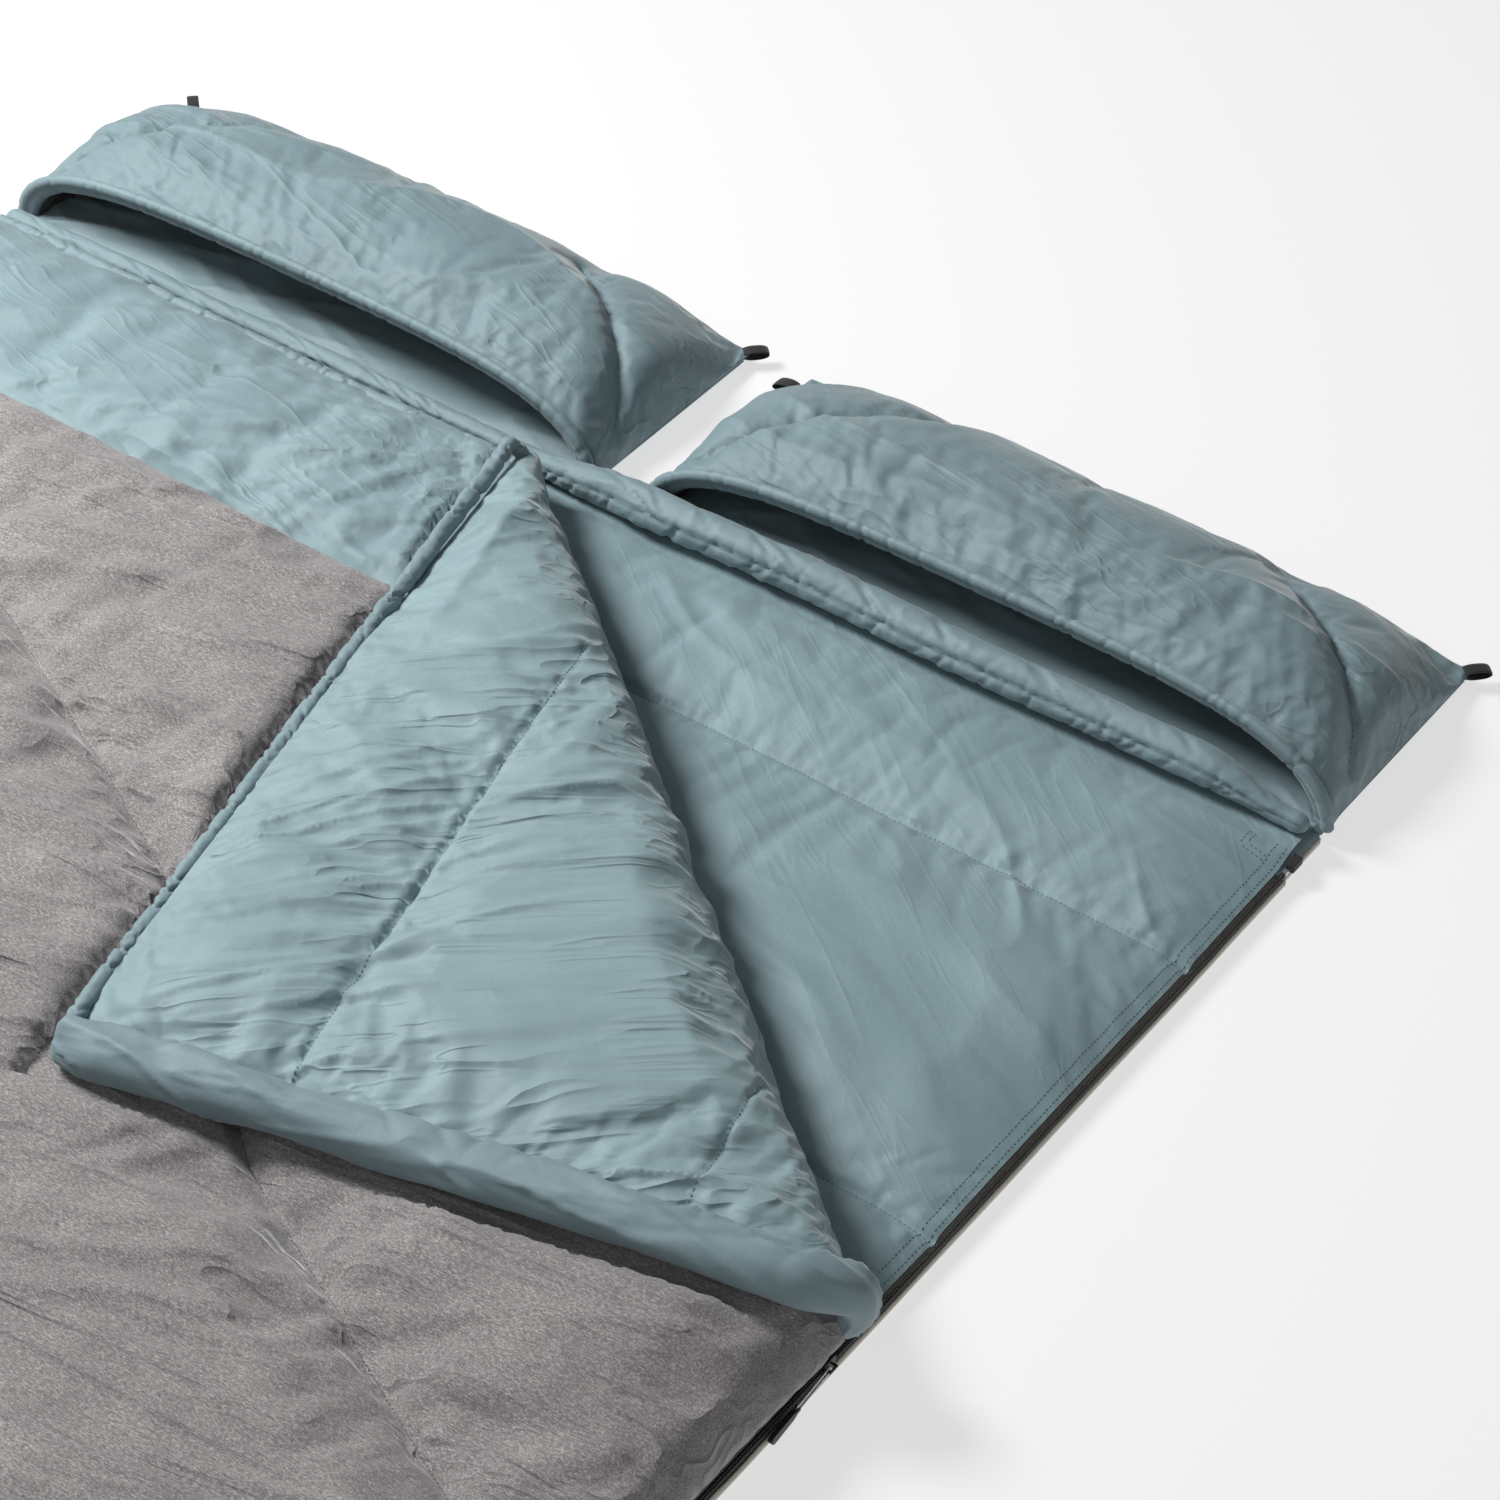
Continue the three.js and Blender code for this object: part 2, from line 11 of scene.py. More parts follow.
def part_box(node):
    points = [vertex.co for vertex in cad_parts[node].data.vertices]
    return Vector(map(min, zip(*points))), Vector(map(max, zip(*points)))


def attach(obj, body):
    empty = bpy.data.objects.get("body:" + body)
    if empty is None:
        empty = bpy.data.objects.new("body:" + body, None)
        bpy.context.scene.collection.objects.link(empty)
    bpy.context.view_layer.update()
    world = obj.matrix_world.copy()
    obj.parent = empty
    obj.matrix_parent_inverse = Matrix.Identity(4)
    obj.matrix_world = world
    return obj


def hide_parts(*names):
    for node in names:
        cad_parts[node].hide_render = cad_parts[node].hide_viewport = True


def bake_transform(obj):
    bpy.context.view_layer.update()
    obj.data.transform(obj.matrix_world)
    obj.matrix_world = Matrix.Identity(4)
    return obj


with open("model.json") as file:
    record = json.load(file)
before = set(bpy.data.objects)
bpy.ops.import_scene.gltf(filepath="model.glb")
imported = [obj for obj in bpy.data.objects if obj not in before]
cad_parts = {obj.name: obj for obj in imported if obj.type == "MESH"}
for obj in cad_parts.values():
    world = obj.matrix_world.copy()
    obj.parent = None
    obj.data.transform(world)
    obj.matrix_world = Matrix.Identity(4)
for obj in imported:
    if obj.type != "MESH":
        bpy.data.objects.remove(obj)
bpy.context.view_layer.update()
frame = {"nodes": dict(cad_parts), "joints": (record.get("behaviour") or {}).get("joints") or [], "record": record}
scene = bpy.context.scene
MM = 0.001

# ---------------------------------------------------------------- camera
AZIMUTH, ELEVATION = math.radians(36.47), math.radians(42.04)
camera = bpy.data.objects.new("camera", bpy.data.cameras.new("camera"))
scene.collection.objects.link(camera)
camera.data.lens, camera.data.sensor_width = 100.3, 36
camera.location = (1.886, -1.510, 2.416)
ahead = Vector((-math.sin(AZIMUTH) * math.cos(ELEVATION), math.cos(AZIMUTH) * math.cos(ELEVATION),
                -math.sin(ELEVATION)))
camera.rotation_mode = "QUATERNION"
camera.rotation_quaternion = ahead.to_track_quat("-Z", "Y")
camera.data.clip_start, camera.data.clip_end = 0.05, 60
scene.camera = camera

# ---------------------------------------------------------------- sizes, from the frame
base_lo, base_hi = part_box("base_outer")
roll_lo, roll_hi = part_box("neck_roll_cover")
hood_lo, hood_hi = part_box("right_hood_floor_outer")
SIDE = base_hi.x
FOOT = base_lo.y
NECK = roll_lo.y + MM
HEAD_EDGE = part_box("top_head_hem")[1].y
BAND_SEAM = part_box("top_outer_band")[0].y
COIL_PITCH = 2.6 * MM  # from one turn of a zip's coil to the next
FACE_Z = 0.088  # the top quilt's face
HEM_IN = 0.012  # the head hem's seam, in from the head edge
FAR = 9.0  # farther than anything here, to start a search for the nearest
fold = next(j for j in frame["joints"] if j["name"] == "corner_fold")
APEX = np.array(fold["pos_m"][:2])
FOLD_Z = fold["pos_m"][2]
ALONG = -np.array(fold["axis"][:2])
ALONG /= np.linalg.norm(ALONG)
ACROSS = np.array([-ALONG[1], ALONG[0]])  # towards the head corner
FOLD_END = (SIDE - APEX[0]) / ALONG[0]


def middle_of(cad):
    """The middle of a CAD part's box, x, y and z."""
    lo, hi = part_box(cad)
    return (np.array(lo) + np.array(hi)) / 2


def to_fold(p):
    """Distance along and across the fold line."""
    q = np.asarray(p, float) - APEX
    return q @ ALONG, q @ ACROSS


def from_fold(s, n):
    return APEX + np.multiply.outer(s, ALONG) + np.multiply.outer(n, ACROSS)


def mirrored(p):
    """A plan point of the closed quilt's corner, folded over the fold line."""
    s, n = to_fold(p)
    return from_fold(s, -n)


# ---------------------------------------------------------------- noise
def noise2(x, y, seed):
    """Smooth noise, about one feature per unit: two lattices, one turned, so that neither shows."""
    turned = lattice_noise(0.8 * x - 0.6 * y + 3.7, 0.6 * x + 0.8 * y + 1.3, seed + 500)
    return 0.68 * lattice_noise(x, y, seed) + 0.68 * turned


def lattice_noise(x, y, seed, size=64):
    g = np.random.default_rng(seed).uniform(-1, 1, (size, size))
    xi, yi = np.floor(x).astype(int), np.floor(y).astype(int)
    fx, fy = smooth(x - xi), smooth(y - yi)
    a, b = g[xi % size, yi % size], g[(xi + 1) % size, yi % size]
    c, d = g[xi % size, (yi + 1) % size], g[(xi + 1) % size, (yi + 1) % size]
    return (a * (1 - fx) + b * fx) * (1 - fy) + (c * (1 - fx) + d * fx) * fy


def smooth(t):
    t = np.clip(t, 0, 1)
    return t * t * (3 - 2 * t)


def folds(u, v, seed, along=2.4, across=22, sharp=1.6):
    """Long soft folds, stretched along u: from -1 to 1."""
    warp = 0.35 * noise2(u * 3.1, v * 3.1, seed + 1)
    h = noise2(u * along + warp, v * across + 2.2 * warp, seed)
    return np.sign(h) * np.abs(h) ** sharp


def creases(u, v, seed, along=5, across=40, thin=3.0, cover=0.1):
    """Thin raised creases that wander along u, and fade in and out: from 0 to 1."""
    warp = 0.5 * noise2(u * 4.1, v * 4.1, seed + 1)
    h = noise2(u * along + warp, v * across + 2.0 * warp, seed)
    show = smooth((noise2(u * along * 0.8, v * across * 0.3, seed + 2) + cover) / 0.35)
    return np.maximum(0, 1 - np.abs(h) * thin) ** 1.5 * show


def nearest(x, y, line):
    """Distance from a plan polyline, and how far along it the nearest point is."""
    best, along = np.full(np.shape(x), FAR), np.zeros(np.shape(x))
    run = 0.0
    for a, b in zip(line, line[1:]):
        a, b = np.asarray(a)[:2], np.asarray(b)[:2]
        size = np.linalg.norm(b - a)
        t = np.clip(((x - a[0]) * (b - a)[0] + (y - a[1]) * (b - a)[1]) / size ** 2, 0, 1)
        far = np.hypot(x - a[0] - t * (b - a)[0], y - a[1] - t * (b - a)[1])
        closer = far < best
        best, along = np.where(closer, far, best), np.where(closer, run + t * size, along)
        run += size
    return best, along


def puckers(co, lines, depth, pitch, reach, seed, groove=0.0, groove_width=0.006):
    """Short gathers on both sides of each quilting seam, and the seam's own groove."""
    for k, line in enumerate(lines):
        d, t = nearest(co[:, 0], co[:, 1], line)
        near = d < reach * 5
        wave = noise2(t[near] / pitch, d[near] / (reach * 2.5), seed + k)
        wave += 0.5 * noise2(t[near] / pitch * 2.1, d[near] / reach, seed + k + 7)
        co[near, 2] += depth * wave * np.exp(-d[near] / reach) * smooth(d[near] / 0.004)
        co[near, 2] -= groove * np.exp(-(d[near] / groove_width) ** 2)
    return co


# ---------------------------------------------------------------- meshes
def new_mesh(name, verts, faces, material=None, shade=True):
    me = bpy.data.meshes.new(name)
    me.from_pydata([tuple(map(float, p)) for p in verts], [], [tuple(map(int, f)) for f in faces])
    me.update()
    if shade:
        me.polygons.foreach_set("use_smooth", np.ones(len(me.polygons), bool))
    obj = bpy.data.objects.new(name, me)
    scene.collection.objects.link(obj)
    if material:
        me.materials.append(material)
    return obj


def unit(v):
    return v / np.maximum(np.linalg.norm(v, axis=-1, keepdims=True), 1e-9)


def grid_faces(rows, cols):
    return [(i * cols + j, (i + 1) * cols + j, (i + 1) * cols + j + 1, i * cols + j + 1)
            for i in range(rows - 1) for j in range(cols - 1)]


def ring_faces(rows, ring, wrap=False):
    """Quads between neighbouring rings of points; wrap joins the last ring to the first."""
    return [(i * ring + j, i * ring + (j + 1) % ring,
             (i + 1) % rows * ring + (j + 1) % ring, (i + 1) % rows * ring + j)
            for i in range(rows if wrap else rows - 1) for j in range(ring)]


def tube_faces(rows, ring):
    """Rings of points with a cap on each end."""
    last = (rows - 1) * ring
    return ring_faces(rows, ring) + [tuple(range(ring))[::-1], tuple(range(last, last + ring))]


def grid_mesh(name, x, y, z, material):
    return new_mesh(name, np.stack([x, y, z], -1).reshape(-1, 3), grid_faces(*x.shape), material)


def slab_mesh(name, upper, lower, material):
    """Two grids of points, one over the other, joined round their rims."""
    rows, cols = upper.shape[:2]
    half = rows * cols
    faces = []
    for f in grid_faces(rows, cols):
        faces += [f, tuple(half + k for k in f[::-1])]
    rim = [i * cols for i in range(rows)] + [(rows - 1) * cols + j for j in range(1, cols)]
    rim += [i * cols + cols - 1 for i in range(rows - 2, -1, -1)] + list(range(cols - 2, 0, -1))
    faces += [(b, a, half + a, half + b) for a, b in zip(rim, rim[1:] + rim[:1])]
    return new_mesh(name, np.concatenate([upper.reshape(-1, 3), lower.reshape(-1, 3)]), faces, material)


def coords(obj):
    co = np.empty(len(obj.data.vertices) * 3, np.float32)
    obj.data.vertices.foreach_get("co", co)
    return co.reshape(-1, 3).astype(float)


def set_coords(obj, co):
    obj.data.vertices.foreach_set("co", np.asarray(co, np.float32).ravel())
    obj.data.update()


def patch(outline, lines, spacing, seed):
    """A flat triangulated patch whose edges follow the outline and the lines.
    Returns points, faces, and which points are on the outline or a line."""
    rng = np.random.default_rng(seed)
    pts, edges = [], []

    def walk(poly, closed):
        start, count = len(pts), len(poly)
        for i in range(count if closed else count - 1):
            a, b = np.array(poly[i], float), np.array(poly[(i + 1) % count], float)
            k = max(1, int(round(np.linalg.norm(b - a) / spacing)))
            pts.extend(a + (b - a) * j / k for j in range(k))
        if not closed:
            pts.append(np.array(poly[-1], float))
        edges.extend((i, i + 1) for i in range(start, len(pts) - 1))
        if closed:
            edges.append((len(pts) - 1, start))
        return start, len(pts)

    first, last = walk(outline, True)
    for line in lines:
        walk(line, False)
    fixed = np.array(pts)
    lo, hi = fixed.min(0), fixed.max(0)
    rows, y, odd = [], lo[1], 0
    while y < hi[1]:
        xs = np.arange(lo[0] + odd * spacing / 2, hi[0], spacing)
        rows.append(np.stack([xs, np.full_like(xs, y)], 1))
        y += spacing * math.sqrt(3) / 2
        odd = 1 - odd
    inner = np.concatenate(rows)
    inner += rng.uniform(-0.15, 0.15, inner.shape) * spacing
    poly = np.array(outline, float)
    inside = np.zeros(len(inner), bool)
    for i in range(len(poly)):
        (xi, yi), (xj, yj) = poly[i], poly[i - 1]
        crossing = (yi > inner[:, 1]) != (yj > inner[:, 1])
        with np.errstate(divide="ignore", invalid="ignore"):
            at = (xj - xi) * (inner[:, 1] - yi) / (yj - yi) + xi
        inside ^= crossing & (inner[:, 0] < at)
    inner = inner[inside]
    tree = KDTree(len(fixed))
    for i, p in enumerate(fixed):
        tree.insert((p[0], p[1], 0), i)
    tree.balance()
    inner = inner[[tree.find((p[0], p[1], 0))[2] > spacing * 0.6 for p in inner]]
    everything = np.concatenate([fixed, inner])
    made = geometry.delaunay_2d_cdt([Vector(p) for p in everything], edges,
                                    [list(range(first, last))], 1, 1e-6)
    v = np.array([tuple(p) for p in made[0]])
    pin = np.array([any(o < len(fixed) for o in origin) for origin in made[3]])
    return v, [list(f) for f in made[2]], pin


def sewn_cloth(obj, pin, frames, slack, pressure, bend, limit, stiff=15):
    """Pins the seams, lets the fabric between them have slack, and inflates it. No point moves
    farther than the limit."""
    group = obj.vertex_groups.new(name="seams")
    group.add([int(i) for i in np.nonzero(pin)[0]], 1, "REPLACE")
    before = coords(obj)
    mod = obj.modifiers.new("Cloth", "CLOTH")
    s = mod.settings
    s.quality, s.mass = 6, 0.1
    s.tension_stiffness = s.compression_stiffness = stiff
    s.shear_stiffness, s.bending_stiffness = stiff / 3, bend
    s.tension_damping = s.compression_damping = s.shear_damping = 5
    s.bending_damping, s.air_damping = 0.5, 2
    s.vertex_group_mass = "seams"
    s.shrink_min = slack
    s.use_pressure, s.uniform_pressure_force = True, pressure
    s.effector_weights.gravity = 0
    mod.collision_settings.use_collision = False
    mod.point_cache.frame_start, mod.point_cache.frame_end = 1, frames
    scene.frame_start, scene.frame_end = 1, frames
    for f in range(1, frames + 1):
        scene.frame_set(f)
    shaped = obj.evaluated_get(bpy.context.evaluated_depsgraph_get())
    co = np.empty(len(before) * 3, np.float32)
    shaped.data.vertices.foreach_get("co", co)
    obj.modifiers.remove(mod)
    scene.frame_set(1)
    move = co.reshape(-1, 3) - before
    move[~np.isfinite(move).all(1)] = 0
    far = np.linalg.norm(move, axis=1, keepdims=True)
    set_coords(obj, before + move * np.minimum(1, limit / np.maximum(far, 1e-9)))
    obj.vertex_groups.clear()


def baked(obj):
    """Makes the modifiers' result the object's own mesh."""
    shaped = obj.evaluated_get(bpy.context.evaluated_depsgraph_get())
    me = bpy.data.meshes.new_from_object(shaped)
    obj.modifiers.clear()
    old, obj.data = obj.data, me
    me.name = old.name
    bpy.data.meshes.remove(old)


def refined(obj, seams):
    """Subdivides the mesh for good. Edges between two seam points stay on their line."""
    me = obj.data
    ends = np.empty(len(me.edges) * 2, np.int32)
    me.edges.foreach_get("vertices", ends)
    crease = me.attributes.new("crease_edge", "FLOAT", "EDGE")
    crease.data.foreach_set("value", seams[ends.reshape(-1, 2)].all(1).astype(np.float32))
    mod = obj.modifiers.new("smooth", "SUBSURF")
    mod.levels = mod.render_levels = 1
    mod.boundary_smooth = "PRESERVE_CORNERS"
    baked(obj)


def curve_table(points, steps=400):
    """A smooth curve through the points; returns arc length and position tables."""
    p = np.array(points, float)
    out = []
    ext = np.concatenate([[2 * p[0] - p[1]], p, [2 * p[-1] - p[-2]]])
    per = max(4, steps // (len(p) - 1))
    for i in range(1, len(ext) - 2):
        t = np.linspace(0, 1, per, endpoint=i == len(ext) - 3)[:, None]
        a, b, c, d = ext[i - 1], ext[i], ext[i + 1], ext[i + 2]
        out.append(0.5 * (2 * b + (c - a) * t + (2 * a - 5 * b + 4 * c - d) * t ** 2
                          + (3 * b - a - 3 * c + d) * t ** 3))
    q = np.concatenate(out)
    s = np.concatenate([[0], np.cumsum(np.linalg.norm(np.diff(q, axis=0), axis=1))])
    return s, q


def at(table, s):
    arc, q = table
    return np.stack([np.interp(s, arc, q[:, k]) for k in range(q.shape[1])], -1)


def tube(name, path, size, material, ring=20, step=0.0025, up=(0, 0, 1), ends=1.0):
    """A padded tube along a path. size(s, angle) is its radius; angle 0 is along up, and grows
    towards the path's right hand. Each end closes in a curve, ends times the radius long."""
    arc, q = curve_table(path, 600)
    count = max(8, int(arc[-1] / step))
    s = np.linspace(0, arc[-1], count)
    c = at((arc, q), s)
    tan = unit(np.gradient(c, axis=0))
    side = unit(np.cross(tan, np.array(up, float)))
    rise = np.cross(side, tan)
    ss, aa = np.meshgrid(s, np.linspace(0, 2 * math.pi, ring, endpoint=False), indexing="ij")
    r = size(ss, aa)
    close = np.minimum(ss, arc[-1] - ss) / (np.mean(r) * ends)
    r = r * np.where(close < 1, np.sqrt(np.clip(1 - (1 - close) ** 2, 0.0004, 1)), 1)
    round_ = np.cos(aa)[..., None] * rise[:, None] + np.sin(aa)[..., None] * side[:, None]
    v = c[:, None] + r[..., None] * round_
    return new_mesh(name, v.reshape(-1, 3), [f[::-1] for f in tube_faces(count, ring)], material)


def piping(name, path, crimps, tuck, radius=0.0078, wave=None, flat=0.0, steps=400, **shape):
    """A padded cord in gathered fabric. crimps is the folds' pitch, seed and jitter; tuck is their
    depth, width, slant, reach and angle; wave is a slow change of radius: share, along, round, seed."""
    places = gathers(curve_table(path, steps)[0][-1], *crimps)

    def size(s, a):
        r = radius * (1 + flat * np.cos(2 * (a - 0.35)))
        if wave:
            r = r * (1 + wave[0] * noise2(s * wave[1], a * wave[2], wave[3]))
        return r - tuck[0] * gather_field(s, a, places, *tuck[1:])

    return tube(name, path, size, TEAL_SHADED, **shape)


def gathers(length, pitch, seed, jitter=0.45):
    """Random fold positions along a gathered seam, with a depth and a slant for each."""
    rng = np.random.default_rng(seed)
    places = np.arange(0, length + pitch, pitch)
    places = places + rng.uniform(-jitter, jitter, len(places)) * pitch
    return places, rng.uniform(0.25, 1, len(places)) ** 1.5, rng.uniform(-1, 1, len(places))


def gather_field(s, a, gathered, width, slant, reach, centre):
    """Depth of the folds, from 0 to 1, at distance s and angle a, fading away from the seam's angle."""
    places, depth, lean = gathered
    total = np.zeros_like(s)
    away = np.abs((a - centre + math.pi) % (2 * math.pi) - math.pi)
    for c, d, l in zip(places, depth, lean):
        near = np.abs(s - c) < width * 6 + slant * 3
        if near.any():
            off = (s[near] - c - l * slant * away[near]) / (width * (1 + 0.5 * away[near]))
            total[near] += d * np.exp(-off ** 2) * np.exp(-(away[near] / (reach * (0.5 + d))) ** 2)
    return total


def pleats(s, a, places, width, slope, start, end):
    """Slanting folds that wind round a tube between two angles."""
    centres, depth, lean = places
    total = np.zeros_like(s)
    fade = smooth((a - start) / 0.35) * smooth((end - a) / 0.35)
    for c, d, l in zip(centres, depth, lean):
        off = (s - c - slope * (1 + 0.5 * l) * (a - start)) / width
        near = np.abs(off) < 3
        total[near] += d * np.exp(-off[near] ** 2) * fade[near]
    return total


# ---------------------------------------------------------------- materials
def nodes_of(name, rough, metal=0.0, sheen=0.0, color=(0.5, 0.5, 0.5)):
    mat = bpy.data.materials.new(name)
    mat.use_nodes = True
    tree = mat.node_tree
    bsdf = tree.nodes["Principled BSDF"]
    bsdf.inputs["Base Color"].default_value = (*color, 1)
    bsdf.inputs["Roughness"].default_value = rough
    bsdf.inputs["Metallic"].default_value = metal
    bsdf.inputs["Sheen Weight"].default_value = sheen
    bsdf.inputs["Sheen Roughness"].default_value = 0.4
    return mat, tree, bsdf


def node(tree, kind, **values):
    made = tree.nodes.new(kind)
    for key, value in values.items():
        if hasattr(made, key):
            setattr(made, key, value)
        else:
            made.inputs[key.replace("_", " ")].default_value = value
    return made


def srgb(r, g, b):
    return tuple((c / 255 / 12.92) if c <= 10 else ((c / 255 + 0.055) / 1.055) ** 2.4 for c in (r, g, b))


def mapped(tree, scale=(1, 1, 1), turn=0.0, kind="POINT"):
    """Object coordinates, scaled and turned. The kind POINT scales before it turns, TEXTURE after."""
    coordinates = tree.nodes.new("ShaderNodeTexCoord")
    turned = tree.nodes.new("ShaderNodeMapping")
    turned.vector_type = kind
    turned.inputs["Scale"].default_value = scale
    turned.inputs["Rotation"].default_value = (0, 0, turn)
    tree.links.new(coordinates.outputs["Object"], turned.inputs["Vector"])
    return turned.outputs["Vector"]


def noise_of(tree, scale, detail, rough=0.5, distortion=0.0, vector=None):
    made = node(tree, "ShaderNodeTexNoise", Scale=scale, Detail=detail, Roughness=rough,
                Distortion=distortion)
    tree.links.new(vector or mapped(tree), made.inputs["Vector"])
    return made.outputs["Fac"]


def bumped(tree, height, strength, distance, below=None):
    """A shading normal from a height, on top of another one."""
    made = node(tree, "ShaderNodeBump", Strength=strength, Distance=distance)
    tree.links.new(height, made.inputs["Height"])
    if below:
        tree.links.new(below, made.inputs["Normal"])
    return made.outputs["Normal"]


def ramp(tree, source, stops):
    made = tree.nodes.new("ShaderNodeValToRGB")
    tree.links.new(source, made.inputs["Fac"])
    while len(made.color_ramp.elements) < len(stops):
        made.color_ramp.elements.new(0.5)
    for element, (position, color) in zip(made.color_ramp.elements, stops):
        element.position, element.color = position, (*color, 1)
    return made.outputs["Color"]


def maths(tree, op, a, b=0.0):
    made = tree.nodes.new("ShaderNodeMath")
    made.operation = op
    for socket, value in ((0, a), (1, b)):
        if isinstance(value, (int, float)):
            made.inputs[socket].default_value = value
        else:
            tree.links.new(value, made.inputs[socket])
    return made.outputs[0]


def mixed(tree, *parts):
    """The sum of values times their shares."""
    total = None
    for value, share in parts:
        part = maths(tree, "MULTIPLY", value, share)
        total = maths(tree, "ADD", total, part) if total else part
    return total


def weave_height(tree, pitch):
    """Crossing threads of a plain weave."""
    waves = []
    for direction in ("X", "Y"):
        wave = node(tree, "ShaderNodeTexWave", wave_type="BANDS", bands_direction=direction,
                    Scale=0.314 / pitch, Distortion=0.6, Detail=1)
        tree.links.new(mapped(tree), wave.inputs["Vector"])
        waves.append(wave.outputs["Fac"])
    return maths(tree, "ADD", *waves)


def crease_bump(tree, turn, depth):
    """Thin creases that run along one direction in plan, as a shading normal."""
    below = None
    for long, across, width, distance in ((2.6, 22, 10.0, 0.0042), (6.0, 52, 8.0, 0.0020)):
        stretched = mapped(tree, (1 / long, 1 / across, 1 / across), turn, "TEXTURE")
        line = noise_of(tree, 1.0, 1.0, 0.4, 0.7, stretched)
        off = maths(tree, "ABSOLUTE", maths(tree, "SUBTRACT", line, 0.5))
        ridge = maths(tree, "MAXIMUM", maths(tree, "SUBTRACT", 1.0, maths(tree, "MULTIPLY", off, width)), 0.0)
        show = node(tree, "ShaderNodeMapRange", **{"From Min": 0.42, "From Max": 0.60})
        tree.links.new(noise_of(tree, long * 1.6, 1.0), show.inputs["Value"])
        height = maths(tree, "MULTIPLY", maths(tree, "POWER", ridge, 1.5), show.outputs["Result"])
        below = bumped(tree, height, 0.75 * depth, distance, below)
    return below


def plain_fabric(name, color, light, rough=0.62, pitch=0.0011, bump=0.25, turn=None, creased=1.0):
    mat, tree, bsdf = nodes_of(name, rough, sheen=0.25)
    fine = noise_of(tree, 700.0, 3.0, 0.6)
    mix = mixed(tree, (noise_of(tree, 9.0, 4.0, 0.55), 0.6), (fine, 0.4))
    tree.links.new(ramp(tree, mix, [(0.3, color), (0.7, light)]), bsdf.inputs["Base Color"])
    under = None if turn is None else crease_bump(tree, turn, creased)
    rumple = bumped(tree, noise_of(tree, 75.0, 3.0, 0.5, 0.8), 0.35, 0.0016, under)
    height = mixed(tree, (weave_height(tree, pitch), 1.0), (fine, 0.8))
    tree.links.new(bumped(tree, height, bump, 0.00025, rumple), bsdf.inputs["Normal"])
    return mat


def melange(name, dark, middle, light):
    """A knit of mixed light and dark fibres, streaked along its courses."""
    mat, tree, bsdf = nodes_of(name, 0.9, sheen=0.35)
    mix = mixed(tree, (noise_of(tree, 1.0, 5.0, 0.7, vector=mapped(tree, (230, 1050, 1050))), 0.5),
                (noise_of(tree, 1.0, 4.0, 0.65, vector=mapped(tree, (900, 480, 900))), 0.22),
                (noise_of(tree, 1500.0, 2.0), 0.18), (noise_of(tree, 14.0, 4.0, 0.6), 0.1))
    tree.links.new(ramp(tree, mix, [(0.34, dark), (0.5, middle), (0.66, light)]), bsdf.inputs["Base Color"])
    height = mixed(tree, (mix, 1.0), (weave_height(tree, 0.0015), 0.25))
    tree.links.new(bumped(tree, height, 0.35, 0.0004, crease_bump(tree, 0.12, 0.85)), bsdf.inputs["Normal"])
    return mat


def plastic(name, color, rough, metal=0.0, bump=0.15):
    mat, tree, bsdf = nodes_of(name, rough, metal)
    grain = noise_of(tree, 400.0, 3.0)
    lighter = tuple(min(1, c * 1.35 + 0.004) for c in color)
    tree.links.new(ramp(tree, grain, [(0.35, color), (0.7, lighter)]), bsdf.inputs["Base Color"])
    tree.links.new(bumped(tree, grain, bump, 0.0002), bsdf.inputs["Normal"])
    return mat


# Copies of one teal fabric: the hoods' copy, and the plain teal of the tubes, hems, neck roll and hood floors, are
# a little darker as painted shade, and the corner lining's copy is a little lighter as painted light. The hoods
# are a little darker and the corner's lining a little lighter, to meet the photo's tones.
TEAL_SHADED = plain_fabric("teal_shaded_fabric", srgb(103, 124, 131), srgb(119, 141, 147))
TEAL_BASE, TEAL_CORNER_LIT, TEAL_HEAD, TEAL_HOOD_SHADED = [
    plain_fabric(f"teal_{name}_fabric", srgb(*dark), srgb(*light), turn=turn, creased=creased)
    for name, dark, light, turn, creased in (("base", (110, 133, 140), (127, 150, 156), -0.62, 0.22),
                                             ("corner", (114, 137, 143), (131, 154, 159), 0.70, 0.75),
                                             ("head", (108, 130, 137), (125, 147, 153), -0.22, 0.42),
                                             ("hood", (99, 120, 127), (115, 137, 143), -0.22, 0.50))]
TEAL_THREAD = plastic("teal_thread", srgb(70, 92, 98), 0.8)
JERSEY = melange("grey_jersey", srgb(48, 46, 47), srgb(122, 119, 119), srgb(196, 192, 190))
JERSEY_THREAD = plastic("grey_thread", srgb(62, 60, 62), 0.8)
LINING = melange("hood_lining", srgb(44, 42, 43), srgb(72, 68, 68), srgb(104, 98, 96))
BEIGE = plain_fabric("beige_fabric", srgb(178, 172, 160), srgb(200, 195, 184), rough=0.8)
BLACK_WEB = plain_fabric("black_webbing", srgb(14, 14, 15), srgb(30, 30, 32), rough=0.75,
                         pitch=0.0016, bump=0.6)
BLACK_COIL = plastic("black_coil", srgb(16, 16, 17), 0.35)
BLACK_PLASTIC = plastic("black_plastic", srgb(14, 14, 15), 0.4)
STEEL = plastic("steel", srgb(200, 202, 205), 0.28, metal=1.0, bump=0.05)


# ---------------------------------------------------------------- finishing a piece
def place(obj, body, slot, *replaced, pad=None):
    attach(obj, body)
    if replaced:
        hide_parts(*replaced)
    return obj


def surface_of(*objs):
    return [BVHTree.FromPolygons([v.co for v in me.vertices], [tuple(p.vertices) for p in me.polygons])
            for me in (o.data for o in objs)]


